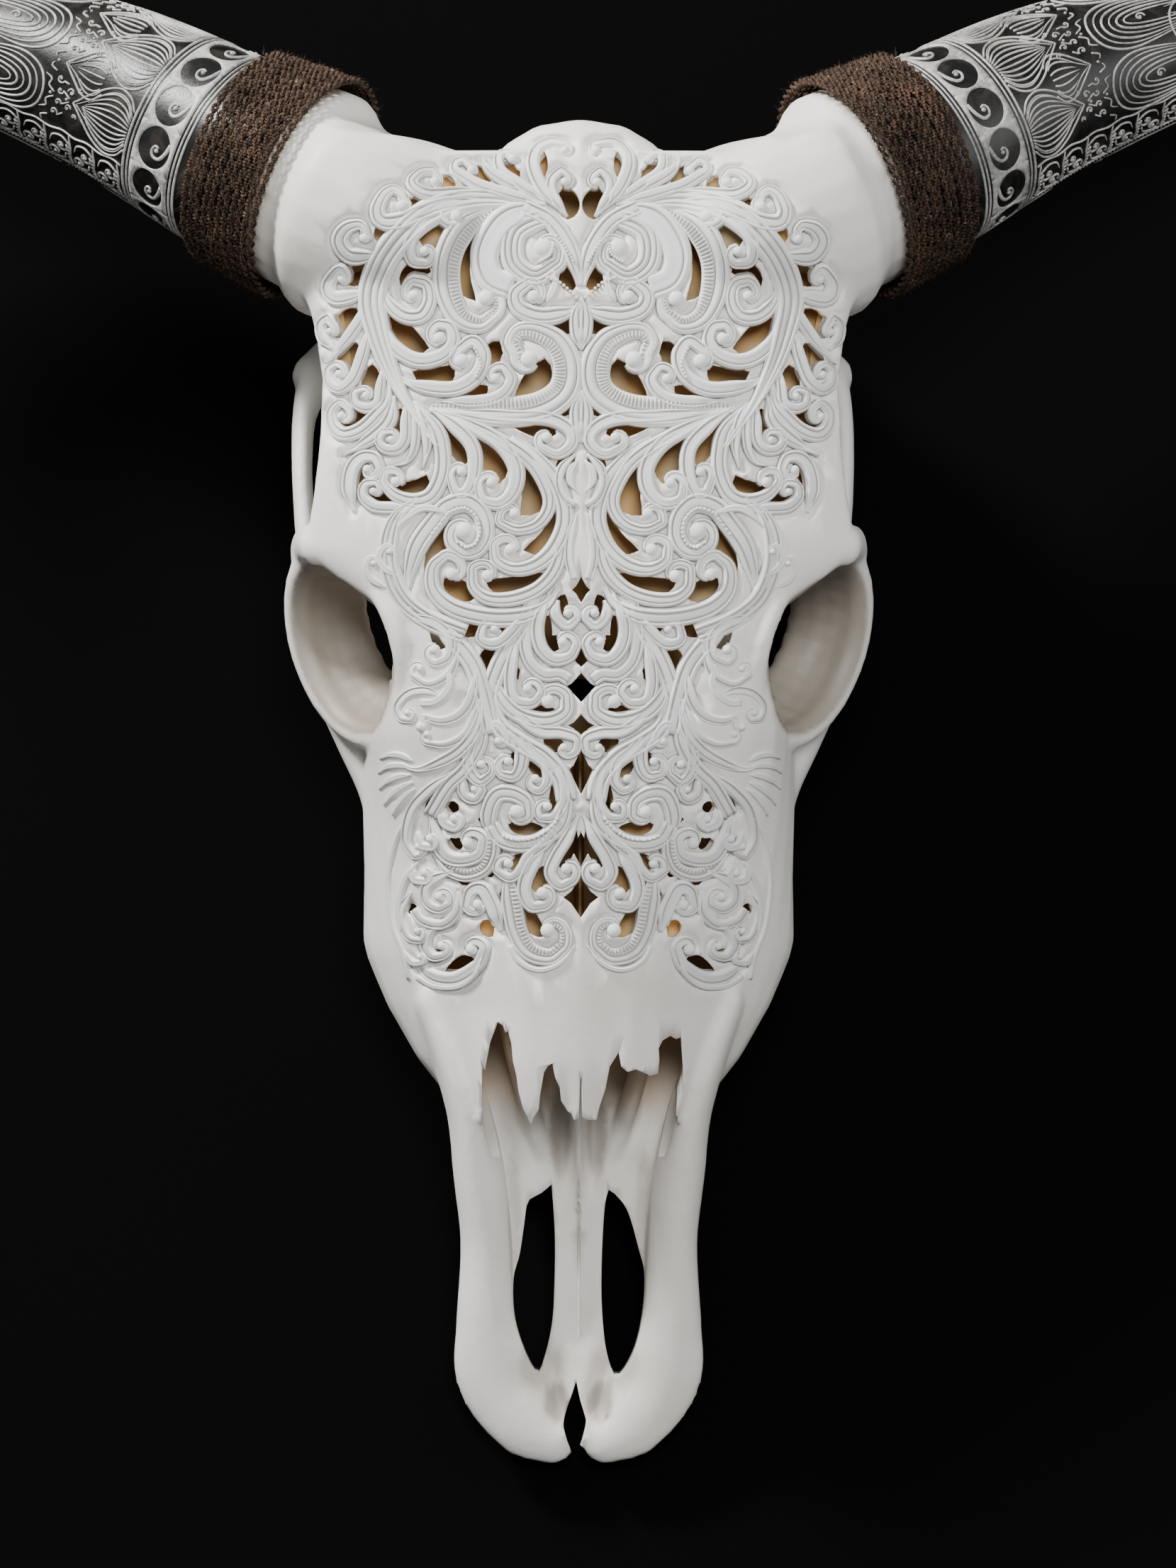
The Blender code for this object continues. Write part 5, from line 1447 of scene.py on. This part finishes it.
# Painted shade on the bone under the cord, darkened as a groove is.
paint(skull, "groove", ramp(along, 1.0, 3.0) * (away < 50.0))
paint(skull, "inside", inside)
paint(skull, "stain_and_shade", stain_and_shade)
paint(skull, "carved", ramp(read_grid(ground, points[:, 0], points[:, 1]), 0.0, 1.5))
skull.name = "skull_bone"
skull.data.transform(LYING)
skull.data.shade_smooth()
skull.data.materials.clear()
skull.data.materials.append(bone_paint)
place_piece(skull, "bone", "skull")
print("stained", int((stain_and_shade > 0.1).sum()), "points of the bone")

# %% [markdown]
# ## Horns
# A cow's horn is a curved cone of black keratin over a core of bone. It is drawn as rings round
# its middle line, close enough together that light runs evenly along the polish.

# %% The black sheaths
CORD_TURNS = 11
CORD_PITCH = 3.0
HORN_STARTS = 14.0  # the sheath begins under the cord
HORN_LINE = (
    (166.0, 480.5, -79.0, 31.0), (216.0, 500.0, -93.0, 25.5), (263.0, 513.0, -95.0, 20.0),
    (305.0, 520.0, -82.0, 14.5), (340.0, 526.0, -54.0, 8.5), (354.0, 528.5, -32.0, 4.5),
    (359.0, 529.5, -22.0, 1.2),
)
HORN_RINGS = 170
HORN_SIDES = 72


def foot_radius(distance):
    """Radius of bone neck and horn under the cord, at a distance from the foot."""
    return FOOT_RADIUS - FOOT_TAPER * distance


def horn_skin():
    """Points of the right horn as rings, and for each ring its distance along the horn, its
    middle, its radius and the two directions that its angles are measured from."""
    straight = []
    for distance in (HORN_STARTS, CORD_TURNS * CORD_PITCH):
        point = HORN_FOOT + HORN_WAY * distance
        straight.append((*point, foot_radius(distance)))
    rows = smooth_line([*straight, *HORN_LINE], HORN_RINGS)
    line, radii = rows[:, :3], rows[:, 3]
    along = np.concatenate([[0.0], np.cumsum(np.linalg.norm(np.diff(line, axis=0), axis=1))])
    ways = np.gradient(line, axis=0)
    ways /= np.linalg.norm(ways, axis=1)[:, None]
    across = np.array(HORN_WAY.cross(Vector((0, 0, 1))).normalized())
    angles = np.linspace(0.0, 2 * math.pi, HORN_SIDES, endpoint=False)
    rings, frames = [], []
    for point, way, radius in zip(line, ways, radii):
        across = across - way * across.dot(way)
        across /= np.linalg.norm(across)
        up = np.cross(across, way)
        out = np.outer(np.cos(angles), across) + np.outer(np.sin(angles), up)
        rings.append(point + radius * out)
        frames.append([*point, radius, *across, *up])
    return np.array(rings), along, np.array(frames)


horn_rows, horn_along, horn_frames = horn_skin()

# %% Black keratin, and the two horns
HORN_BLACK = (0.006, 0.006, 0.006, 1.0)
HORN_SMOKE = (0.030, 0.026, 0.022, 1.0)
horn_finish = Finish("horn")
horn_grain = horn_finish.noise(110.0, 5.0, 0.6, twist=0.6)
scratches = horn_finish.noise(900.0, 4.0, 0.7)
horn_colour = horn_finish.mix(horn_grain.step(0.42, 0.75), HORN_BLACK, HORN_SMOKE)
horn_paint = horn_finish.ends(
    Base_Color=horn_colour, Roughness=0.16 + 0.22 * horn_grain + 0.08 * scratches,
    Normal=horn_finish.bump(horn_grain * 0.5 + scratches * 0.5, 0.00025, 0.6),
)
for side, word in ((1, "right"), (-1, "left")):
    points = horn_rows.reshape(-1, 3) * (side, 1, 1)
    faces = skin_faces(*horn_rows.shape[:2]).tolist()
    faces.append(list(range(HORN_SIDES)))
    faces.append(list(range(len(points) - HORN_SIDES, len(points))))
    horn = mesh_piece(f"horn_sheath_{word}", points, faces)
    horn.data.materials.append(horn_paint)
    place_piece(horn, "horn", f"horn_{word}")

# %% [markdown]
# ## The engraving of the horns
# The carver cut the black ground away and left fine pale lines standing on it: a band of round
# black medallions next to the cord, a double row of lotus petals, long feathers and, along the
# lower edge, a band of curls with a beaded border. The pattern is drawn flat, as if the horn were
# unrolled: s runs along it from the cord and t runs round it, with a full turn as 201.6 mm. Then
# every line becomes a low ribbon that is wrapped on the horn.

# %% From the flat drawing on to the horn
ENGRAVED_FROM = 23.0  # distance from the start of the sheath to the edge of the cord
FULL_TURN = 201.6
LINE_HEIGHT = 0.5
LINE_PROFILE = ((-1.0, -0.3), (-0.6, 0.85), (0.6, 0.85), (1.0, -0.3))
DOT_POINTS, DOT_FACES = unit_ball(7, 5)


def on_horn(s, t, height):
    """Points of the right horn from the flat drawing and a height over the skin."""
    s = np.asarray(s, float) + ENGRAVED_FROM
    frame_at = [np.interp(s, horn_along, column) for column in horn_frames.T]
    middle, across, up = (np.stack(frame_at[i : i + 3], -1) for i in (0, 4, 7))
    angle = 2 * math.pi * np.asarray(t, float) / FULL_TURN
    out = np.cos(angle)[..., None] * across + np.sin(angle)[..., None] * up
    return middle + (frame_at[3] + height)[..., None] * out

# %% Lines, dots and curls
class Engraving:
    """All raised lines of one horn."""

    def __init__(self):
        self.points, self.faces, self.count = [], [], 0

    def add(self, points, faces):
        self.points.append(points.reshape(-1, 3))
        self.faces += [[self.count + i for i in face] for face in faces]
        self.count += points.size // 3

    def line(self, path, width, step=1.0, start=1.0, end=0.35, high=LINE_HEIGHT):
        """A ribbon along a path of s and t, with shares of its width at start and end."""
        rows = np.array([(s, t, 0.0) for s, t in path])
        length = np.linalg.norm(np.diff(rows, axis=0), axis=1).sum()
        count = max(4, round(length / step))
        flat = smooth_line(rows, count)[:, :2]
        way = np.gradient(flat, axis=0)
        way /= np.linalg.norm(way, axis=1)[:, None] + 1e-9
        normal = np.column_stack([-way[:, 1], way[:, 0]])
        share = np.linspace(0.0, 1.0, count)
        wide = np.minimum(1.0, start + (1 - start) * share / 0.3)
        wide = np.minimum(wide, end + (1 - end) * (1 - share) / 0.3) * width / 2
        sections = []
        for u, h in LINE_PROFILE:
            place = flat + normal * (u * wide)[:, None]
            sections.append(on_horn(place[:, 0], place[:, 1], np.full(count, h * high)))
        self.add(np.stack(sections, 1), open_skin(count, len(LINE_PROFILE)))

    def dot(self, s, t, radius):
        """A small ball half sunk in the horn."""
        centre = on_horn(np.array([s]), np.array([t]), np.array([0.0]))[0]
        self.add(DOT_POINTS * radius + centre, DOT_FACES)

    def curl(self, s, t, radius, start, turn, width, tail=()):
        """A spiral round a ball, with an optional tail that leads into it. Angles in degrees."""
        path = list(tail)
        for share in np.linspace(0.0, 1.0, 12):
            angle = math.radians(start + turn * share)
            reach = radius * (1.0 - 0.72 * share)
            path.append((s + reach * math.cos(angle), t + reach * math.sin(angle)))
        self.line(path, width, step=0.7, end=0.7)
        self.dot(s, t, 0.3 * radius)

# %% [markdown]
# ## Medallions and lotus
# The medallions are what was left black in a pale band, so the band is meshed as plates with oval
# openings. The petals behind them stand in two rows, the back row seen between the front ones.
# Each petal is a double edge with stripes that follow it, as the carver would cut it.

# %% Medallions
MEDALLIONS = 13
WEB_FROM, WEB_TO = 3.6, 20.8
MEDALLION_S, MEDALLION_T = 6.9, 7.2  # half lengths along and round the horn
MEDALLION_CURL = (
    (-6.2, 3.4), (-5.0, -0.4), (-2.9, -3.0), (-0.4, -2.8), (0.6, -0.8), (-0.5, 0.9), (-2.0, 0.5),
)


def ring_faces(spokes, places):
    """Quads between spokes round a middle, each with a row of places outwards."""
    faces = []
    for i in range(spokes):
        j = (i + 1) % spokes
        for k in range(places - 1):
            faces.append([i * places + k, i * places + k + 1, j * places + k + 1, j * places + k])
    return faces


def medallion_web(made):
    """The pale band with a round black field and a curl for each medallion."""
    pitch = FULL_TURN / MEDALLIONS
    half_s, half_t = (WEB_TO - WEB_FROM) / 2, pitch / 2
    corner = math.atan2(half_t, half_s)
    corners = (corner, math.pi - corner, math.pi + corner, 2 * math.pi - corner)
    angles = sorted([*np.linspace(0, 2 * math.pi, 40, endpoint=False), *corners])
    for number in range(MEDALLIONS):
        s, t = (WEB_FROM + WEB_TO) / 2, 21.8 + pitch * number
        rows = []
        for angle in angles:
            u, v = math.cos(angle), math.sin(angle)
            edge = min(half_s / max(abs(u), 1e-6), half_t / max(abs(v), 1e-6))
            inner = 1.0 / math.hypot(u / MEDALLION_S, v / MEDALLION_T)
            fall = -0.4 if edge * abs(u) > half_s - 1e-4 else 0.42
            rows.append([(inner * 0.97, -0.4), (inner * 1.03, 0.4), ((inner + edge) / 2, 0.5),
                         (edge, 0.42), (edge, fall)])
        rows = np.array(rows)
        reach, high = rows[..., 0], rows[..., 1]
        cos, sin = np.cos(angles)[:, None], np.sin(angles)[:, None]
        made.add(on_horn(s + reach * cos, t + reach * sin, high), ring_faces(len(angles), 5))
        made.line([(s + u, t + v) for u, v in MEDALLION_CURL], 1.5, 0.6, 1.2, 0.75)
        made.dot(s - 1.4, t - 0.5, 0.9)

# %% Lotus petals
PETALS = 8
SPRIGS = (
    ((62.0, 0.8), (65.0, 2.8), (64.4, 5.2), (67.4, 6.6)), ((63.4, 8.6), (66.4, 10.0),
    (65.6, 11.6)),
)


def petal(made, t, outline, stripes, first, last):
    """A pointed petal with a double edge and stripes along it."""
    for side in (1, -1):
        made.line([(s, t + side * w) for s, w in outline], 0.85, 1.1, 1.0, 0.9)
        nested = [(s - 0.054 * (s - first), t + side * max(w - 1.7, 0.0)) for s, w in outline]
        made.line(nested, 0.55, 1.2, 0.6, 0.4)
    wide = smooth_line([(s, w, 0.0) for s, w in outline], 40)
    for share in stripes:
        end = last - 3.4 * abs(share) ** 1.4
        path = []
        for s in np.linspace(first, end, 7):
            w = np.interp(s, wide[:, 0], wide[:, 1])
            path.append((s, t + share * max(w - 2.4, 0.2)))
        made.line(path, 0.75, 1.4, 1.0, 0.15)


def lotus(made):
    """Two rows of petals, with curls, sprigs and dots at their tips."""
    pitch = FULL_TURN / PETALS
    front = ((25.0, 6.8), (28.5, 10.6), (34.0, 12.2), (40.0, 10.0), (46.0, 5.4), (52.5, 0.0))
    back = ((41.5, 5.4), (45.0, 8.8), (50.0, 8.6), (55.5, 4.8), (61.0, 0.0))
    fan = (-1.0, -0.78, -0.56, -0.34, -0.12, 0.12, 0.34, 0.56, 0.78, 1.0)
    for number in range(PETALS - 1):
        t = 37.5 + pitch * number
        petal(made, t, front, fan, 25.2, 48.0)
        if number < PETALS - 2:
            petal(made, t + pitch / 2, back, (-0.85, -0.42, 0.0, 0.42, 0.85), 43.0, 56.0)
        for side in (1, -1):
            made.curl(54.6, t + side * 3.0, 1.7, 90 - 90 * side, side * 300, 0.7)
            made.curl(59.4, t + side * 2.4, 1.6, 180, side * 290, 0.7, ((54.6, t + side * 0.6),))
            made.curl(60.6, t + side * 6.6, 1.9, 200, side * 280, 0.7, ((56.6, t + side * 5.6),))
            made.curl(51.0, t + side * 5.2, 1.3, 200, side * 280, 0.6)
            for sprig in SPRIGS:
                made.line([(s, t + side * w) for s, w in sprig], 0.7, 0.8)
        made.dot(56.0, t, 0.6)
        made.dot(63.6, t, 0.6)
        made.dot(64.4, t + pitch / 2, 0.6)
        made.dot(68.0, t + 4.0, 0.5)

# %% [markdown]
# ## Feathers and the lower band
# Further out the ground is filled with rows of nested feathers that shrink with the horn. A band
# of curls runs along the lower edge, where the two ends of the pattern would meet, and hides the
# seam. All lines of a horn make one mesh, as they are cut from one piece.

# %% Feathers
LOWER_BAND = 24.5  # how far the band of curls reaches round from the lower edge
# Each row of feathers: where it starts, how long they are, how many, lines nested in each.
FEATHER_ROWS = ((67.0, 46.0, 7, 6), (100.0, 44.0, 6, 5), (134.0, 40.0, 5, 3), (166.0, 34.0, 4, 2))


def feathers(made):
    """Rows of long feathers that point back to the cord, with lines nested in them."""
    for start, length, count, nested in FEATHER_ROWS:
        pitch = (FULL_TURN - LOWER_BAND) / count
        shift = 0.5 if count % 2 == 0 else 0.0
        for number in range(count):
            t = LOWER_BAND + pitch * (number + 0.5 + shift)
            if t + pitch / 2 > FULL_TURN + 1.0:
                continue
            for inner in range(nested):
                half = (pitch / 2 - 0.9) * (1 - 0.86 * inner / nested)
                tip, end = start + 3.0 * inner, start + length - 2.5 * inner
                path = [(end, t - half * 0.55), (tip + 0.6 * length, t - half * 0.9),
                        (tip + 0.28 * length, t - half), (tip + 3.2, t - half * 0.66), (tip, t),
                        (tip + 3.2, t + half * 0.66), (tip + 0.28 * length, t + half),
                        (tip + 0.6 * length, t + half * 0.9), (end, t + half * 0.55)]
                made.line(path, 1.05 if inner % 2 == 0 else 0.7, 1.5, 0.2, 0.2)
            made.curl(start + 3.2 * nested + 3.0, t, 2.2, 0, 310, 0.8)

# %% The lower band
BAND_FROM = 6.0
BAND_REPEAT = 12.6
BAND_LEAVES = (
    ((1.2, 14.6), (4.6, 16.2), (8.6, 15.0), (10.2, 11.4)),
    ((2.6, 8.4), (4.0, 4.6), (7.6, 2.9), (10.6, 3.7)),
)


def lower_band(made):
    """Beads, border lines and a curl between ticked bars, again and again along the edge."""
    low = BAND_FROM
    for s in np.arange(26.0, 190.0, 1.7):
        made.dot(s, low, 0.5)
    made.line([(s, low + 1.7) for s in np.linspace(25.2, 192.0, 24)], 0.6, 2.0)
    waves = [(s, LOWER_BAND + 0.5 * math.sin(s * 0.48)) for s in np.linspace(25.2, 192.0, 110)]
    made.line(waves, 0.8, 1.6)
    for cell in range(13):
        s = 26.5 + BAND_REPEAT * cell
        made.curl(s + 4.4, low + 11.6, 3.1, 150, 330, 1.1)
        made.curl(s + 8.0, low + 6.6, 3.0, -30, 330, 1.1)
        for leaf in BAND_LEAVES:
            made.line([(s + u, low + v) for u, v in leaf], 0.9, 1.0)
        bar = ((0, 2.0), (0.5, 7.0), (-0.3, 12.0), (0.3, LOWER_BAND - 0.4 - low))
        made.line([(s + u, low + v) for u, v in bar], 1.0, 1.2)
        for t in np.arange(low + 4.0, low + 16.0, 2.0):
            made.line(((s + 0.2, t), (s + 1.5, t + 0.7)), 0.6, 0.5, 1.0, 0.8)

# %% The whole engraving
made = Engraving()
for s, wide in ((0.7, 0.9), (2.3, 0.7), (22.2, 0.8), (24.2, 1.1)):
    made.line([(s, t) for t in np.linspace(0.0, FULL_TURN, 49)], wide, 2.0, 1.0, 1.0)
medallion_web(made)
lotus(made)
feathers(made)
lower_band(made)
print("engraving of", sum(len(face) - 2 for face in made.faces), "triangles a horn")

# %% Pale lines on both horns
LINE_PALE = (0.50, 0.49, 0.46, 1.0)
LINE_GREY = (0.20, 0.20, 0.19, 1.0)
line_finish = Finish("horn_lines")
wear_and_sheen = line_finish.noise(60.0, 5.0, 0.65)
dust = line_finish.noise(700.0, 3.0, 0.6)
# From grey to pale by noise: partly wear, and partly painted sheen that varies along the lines.
line_colour = line_finish.mix((wear_and_sheen * 0.6 + dust * 0.4).step(0.36, 0.62), LINE_GREY, LINE_PALE)
line_paint = line_finish.ends(
    Base_Color=line_colour, Roughness=0.30 + 0.3 * dust,
    Normal=line_finish.bump(dust, 0.0002, 0.5),
)
line_points = np.concatenate(made.points)
for side, word in ((1, "right"), (-1, "left")):
    lines = mesh_piece(f"horn_lines_{word}", line_points * (side, 1, 1), made.faces)
    lines.data.materials.append(line_paint)
    place_piece(lines, "horn", f"horn_{word}")

# %% [markdown]
# ## The cord
# A brown twisted cord is wound in eleven close turns round the foot of each horn. Each strand of
# it is a thin tube that runs round the cord's own middle line while that line winds round the
# horn. Hand-laid cord is never even: the turns wander, the strands swell and shrink, and short
# loose fibres stand out all over it.

# %% The wandering middle line of the cord
CORD_THICKNESS = 3.1
CORD_CLEARANCE = 1.5
CORD_START = 1.5
CORD_STEPS = 2500
chance = np.random.default_rng(11)


def wandering(count, waves, size):
    """Smooth random values along the cord, as a sum of waves."""
    turns = np.linspace(0.0, CORD_TURNS, count)
    total = np.zeros(count)
    for wave in waves:
        total += np.sin(turns * wave + chance.uniform(0, 6.28)) * chance.uniform(0.5, 1.0)
    return size * total / math.sqrt(len(waves))


def cord_frame(count):
    """Points along the wound cord with the directions away from the horn and along its axis."""
    turns = np.linspace(0.0, CORD_TURNS, count)
    distance = CORD_START + turns * CORD_PITCH
    distance += wandering(count, (6.1, 9.7, 15.3, 24.0, 41.0), 0.22)
    radius = foot_radius(distance) + CORD_CLEARANCE + CORD_THICKNESS / 2
    radius = radius + wandering(count, (5.3, 8.9, 17.0, 33.0, 57.0), 0.22)
    angle = 2 * math.pi * turns
    across = np.array(HORN_WAY.cross(Vector((0, 0, 1))).normalized())
    up = np.cross(across, np.array(HORN_WAY))
    out = np.outer(np.cos(angle), across) + np.outer(np.sin(angle), up)
    line = np.array(HORN_FOOT) + np.outer(distance, np.array(HORN_WAY)) + radius[:, None] * out
    return line, out


cord_line, cord_out = cord_frame(CORD_STEPS)
cord_way = np.gradient(cord_line, axis=0)
cord_way /= np.linalg.norm(cord_way, axis=1)[:, None]
cord_side = np.cross(cord_way, cord_out)
cord_along = np.concatenate([[0.0], np.cumsum(np.linalg.norm(np.diff(cord_line, axis=0), axis=1))])
print("the cord is", round(cord_along[-1] / 1000, 2), "m long on each horn")

# %% [markdown]
# ## Strands and fibres
# What makes it a cord and not a pipe is the lay of its strands: they cross the turns at a slant
# and catch the light one by one. Two strands of six sides are enough for that at this size. The
# fibres are narrow strips, each bent a little, because a curved hair of full roundness would cost
# ten times the faces.

# %% Twisted strands
STRAND_SIDES = 6
STRANDS = 2
TWIST = 8.4  # length of cord for one turn of its strands


def strands():
    """Points, faces and a value along the yarn for the twisted strands."""
    points, faces, yarn = [], [], []
    twist = cord_along / TWIST + wandering(CORD_STEPS, (3.0, 7.7, 19.0), 0.10)
    for number in range(STRANDS):
        swell = wandering(CORD_STEPS, (31.0, 73.0, 118.0, 190.0), 0.09)
        strand = 0.27 * CORD_THICKNESS * (1.0 + swell)
        offset = 0.25 * CORD_THICKNESS
        phase = 2 * math.pi * (number / STRANDS + twist)
        middle = cord_line + offset * (
            np.cos(phase)[:, None] * cord_out + np.sin(phase)[:, None] * cord_side
        )
        rings = []
        for step in range(STRAND_SIDES):
            angle = 2 * math.pi * step / STRAND_SIDES - 2.4 * phase
            rings.append(middle + strand[:, None] * (
                np.cos(angle)[:, None] * cord_out + np.sin(angle)[:, None] * cord_side
            ))
            yarn.append(np.full(CORD_STEPS, step % 2, float))
        rings = np.stack(rings, axis=1)
        start = len(points) * STRAND_SIDES * CORD_STEPS
        faces += (skin_faces(CORD_STEPS, STRAND_SIDES) + start).tolist()
        points.append(rings.reshape(-1, 3))
    yarn = np.stack(yarn).reshape(STRANDS, STRAND_SIDES, -1).transpose(0, 2, 1).ravel()
    return np.concatenate(points), faces, yarn

# %% Loose fibres
FIBRES = 3100


def fibres(first):
    """Short loose fibres, each a narrow strip of three quads that bends away from the cord."""
    points, faces = [], []
    for _ in range(FIBRES):
        i = int(chance.integers(4, CORD_STEPS - 4))
        side, out = cord_side[i], cord_out[i]
        turn = chance.uniform(-1.3, 1.3)
        root = math.cos(turn) * out + math.sin(turn) * side
        root = cord_line[i] + root * CORD_THICKNESS * 0.42
        way = cord_way[i] * chance.choice((-1, 1))
        way = way + side * chance.normal(0, 0.7) + out * chance.uniform(0.0, 0.35)
        way /= np.linalg.norm(way)
        bend = out * chance.uniform(0.05, 0.28) + side * chance.normal(0, 0.15)
        length = chance.uniform(1.6, 4.6)
        across = np.cross(way, out)
        across *= chance.uniform(0.035, 0.075) / np.linalg.norm(across)
        start = first + len(points)
        for share, thick in ((0.0, 1.0), (0.35, 0.9), (0.7, 0.7), (1.0, 0.25)):
            spot = root + way * length * share + bend * length * share * share
            points += [spot - across * thick, spot + across * thick]
        for k in (0, 2, 4):
            faces.append([start + k, start + k + 1, start + k + 3, start + k + 2])
    return np.array(points), faces


rope_points, rope_faces, rope_yarn = strands()
fibre_points, fibre_faces = fibres(len(rope_points))
rope_points = np.concatenate([rope_points, fibre_points])
rope_faces = rope_faces + fibre_faces
rope_yarn = np.concatenate([rope_yarn, np.full(len(fibre_points), 2.0)])

# %% [markdown]
# ## The finish of the cord
# Old plant fibre takes dye unevenly and gives back no gloss. Fine noise paints shade into the gaps
# between lit hairs, wide noise shifts the brown towards rust, and straw specks are hairs that the
# dye missed.

# %% Brown dye, rust and straw
CORD_GAP_SHADE = (0.012, 0.008, 0.006, 1.0)
CORD_BROWN = (0.105, 0.066, 0.045, 1.0)
CORD_RUST = (0.20, 0.10, 0.055, 1.0)
CORD_STRAW = (0.34, 0.28, 0.20, 1.0)
cord_finish = Finish("cord", Roughness=0.95)
cord_finish.shader.inputs["Specular IOR Level"].default_value = 0.2
dye = cord_finish.noise(70.0, 5.0, 0.6)
hairs = cord_finish.noise(520.0, 5.0, 0.7)
specks = cord_finish.noise(330.0, 2.0, 0.5)
yarn = cord_finish.painted("yarn")
# Near black is painted shade in the gaps between lit hairs, mixed with the uneven dye.
lit = (hairs * 0.7 + dye * 0.3 + yarn * 0.05).step(0.36, 0.66)
cord_colour = cord_finish.mix(lit, CORD_GAP_SHADE, CORD_BROWN)
cord_colour = cord_finish.mix(dye.step(0.55, 0.7) * 0.5 * hairs, cord_colour, CORD_RUST)
cord_colour = cord_finish.mix(specks.step(0.66, 0.74) * 0.7, cord_colour, CORD_STRAW)
cord_paint = cord_finish.ends(
    Base_Color=cord_colour, Normal=cord_finish.bump(hairs + yarn * 0.2, 0.0006, 0.9)
)
for side, word in ((1, "right"), (-1, "left")):
    rope = mesh_piece(f"cord_{word}", rope_points * (side, 1, 1), rope_faces)
    paint(rope, "yarn", rope_yarn)
    rope.data.materials.append(cord_paint)
    place_piece(rope, "cord", f"rope_{word}")

# %% [markdown]
# ## Cheek teeth
# Six cheek teeth stand in each jaw, tall and ribbed. The skull lies on their chewing faces, so
# they are drawn upright on the table and turned into the skull's frame afterwards. Old enamel is
# ivory with brown stain in its furrows, darker towards the root.

# %% Two lobes to a tooth
# Place along and across the skull, length and width of the teeth on the right, front to back.
TEETH = (
    (134.0, 39.0, 16.0, 15.0), (152.0, 42.5, 18.0, 18.0), (171.0, 46.0, 18.0, 20.0),
    (193.0, 49.5, 24.0, 22.0), (219.0, 52.5, 26.0, 23.0), (246.5, 54.5, 27.0, 22.0),
)
TOOTH_HEIGHT = 26.0
TOOTH_GAP = 0.4
TOOTH_SHAPE = (
    (0.55, -1.0), (0.95, -0.62), (1.0, -0.1), (0.9, 0.3), (1.0, 0.72), (0.6, 1.0), (-0.55, 0.98),
    (-0.95, 0.55), (-0.82, 0.0), (-0.95, -0.5), (-0.5, -0.98), (0.55, -1.0),
)
RIB_DEPTH = 0.35
RINGS, AROUND = 18, 60
two_lobes = smooth_line([(u, v, 0.0) for u, v in TOOTH_SHAPE], AROUND + 1)[:-1, :2]


def tooth_points(x, y, length, width):
    """Rings of a tooth in table millimetres, from the chewing face up to the root."""
    shape = np.clip(two_lobes, -1.0, 1.0)
    turn = np.linspace(0.0, 2 * math.pi, AROUND, endpoint=False)
    rows = []
    for share in np.linspace(0.0, 1.0, RINGS):
        taper = max(0.0, (share - 0.45) / 0.55)
        bevel = 0.9 * max(0.0, 1.0 - share * 12)
        half_w = width / 2 - 1.7 * taper - bevel
        half_l = length / 2 - TOOTH_GAP / 2 - 1.2 * taper - bevel
        waves = 0.5 + 0.5 * np.cos(9 * turn + 0.6 * math.sin(7 * share))
        rows.append(np.column_stack([
            x + half_w * (1.0 - RIB_DEPTH * waves / half_w) * shape[:, 0],
            y + half_l * shape[:, 1], np.full(AROUND, TOOTH_HEIGHT * share),
        ]))
    return np.array(rows)

# %% Ivory and its stains
IVORY = (0.70, 0.62, 0.47, 1.0)
STAIN_BROWN = (0.16, 0.10, 0.055, 1.0)
ROOT_GREY = (0.42, 0.37, 0.29, 1.0)
tooth_finish = Finish("tooth")
cracks = tooth_finish.noise(420.0, 6.0, 0.7, twist=1.2)
patches = tooth_finish.noise(95.0, 4.0, 0.6)
furrow = tooth_finish.painted("furrow")
rootward = tooth_finish.painted("rootward")
tooth_colour = tooth_finish.mix(rootward * (0.5 + patches), IVORY, ROOT_GREY)
stained = (furrow * 0.75 + patches.step(0.5, 0.75) * 0.4 + cracks.step(0.58, 0.66) * 0.3)
tooth_colour = tooth_finish.mix(stained.step(0.15, 1.3), tooth_colour, STAIN_BROWN)
tooth_paint = tooth_finish.ends(
    Base_Color=tooth_colour, Roughness=0.28 + 0.3 * patches,
    Normal=tooth_finish.bump(cracks * 0.5 + patches, 0.0004, 0.6),
)

# %% Both rows of teeth
back_to_skull = np.array(LYING.inverted())
furrows = 1.0 - ramp(np.hypot(*two_lobes.T), 0.82, 1.05)
for side, word in ((1, "right"), (-1, "left")):
    for number, (y, x, length, width) in enumerate(TEETH, start=1):
        foot = LYING @ Vector((x, y, -TABLE_DROP - y * math.tan(TIP_ANGLE))) / MM
        rows = tooth_points(foot.x, foot.y, length, width)
        points = rows.reshape(-1, 3) * (side * MM, MM, MM)
        in_skull = points @ back_to_skull[:3, :3].T + back_to_skull[:3, 3]
        faces = skin_faces(RINGS, AROUND).tolist()
        faces += [list(range(AROUND)), list(range(len(points) - AROUND, len(points)))]
        tooth = mesh_piece(f"cheek_tooth_{word}_{number}", in_skull, faces)
        paint(tooth, "furrow", np.tile(furrows, RINGS))
        paint(tooth, "rootward", np.repeat(ramp(np.linspace(0, 1, RINGS), 0.35, 1.0), AROUND))
        tooth.data.materials.append(tooth_paint)
        place_piece(tooth, "tooth", f"tooth_{word}_{number}")
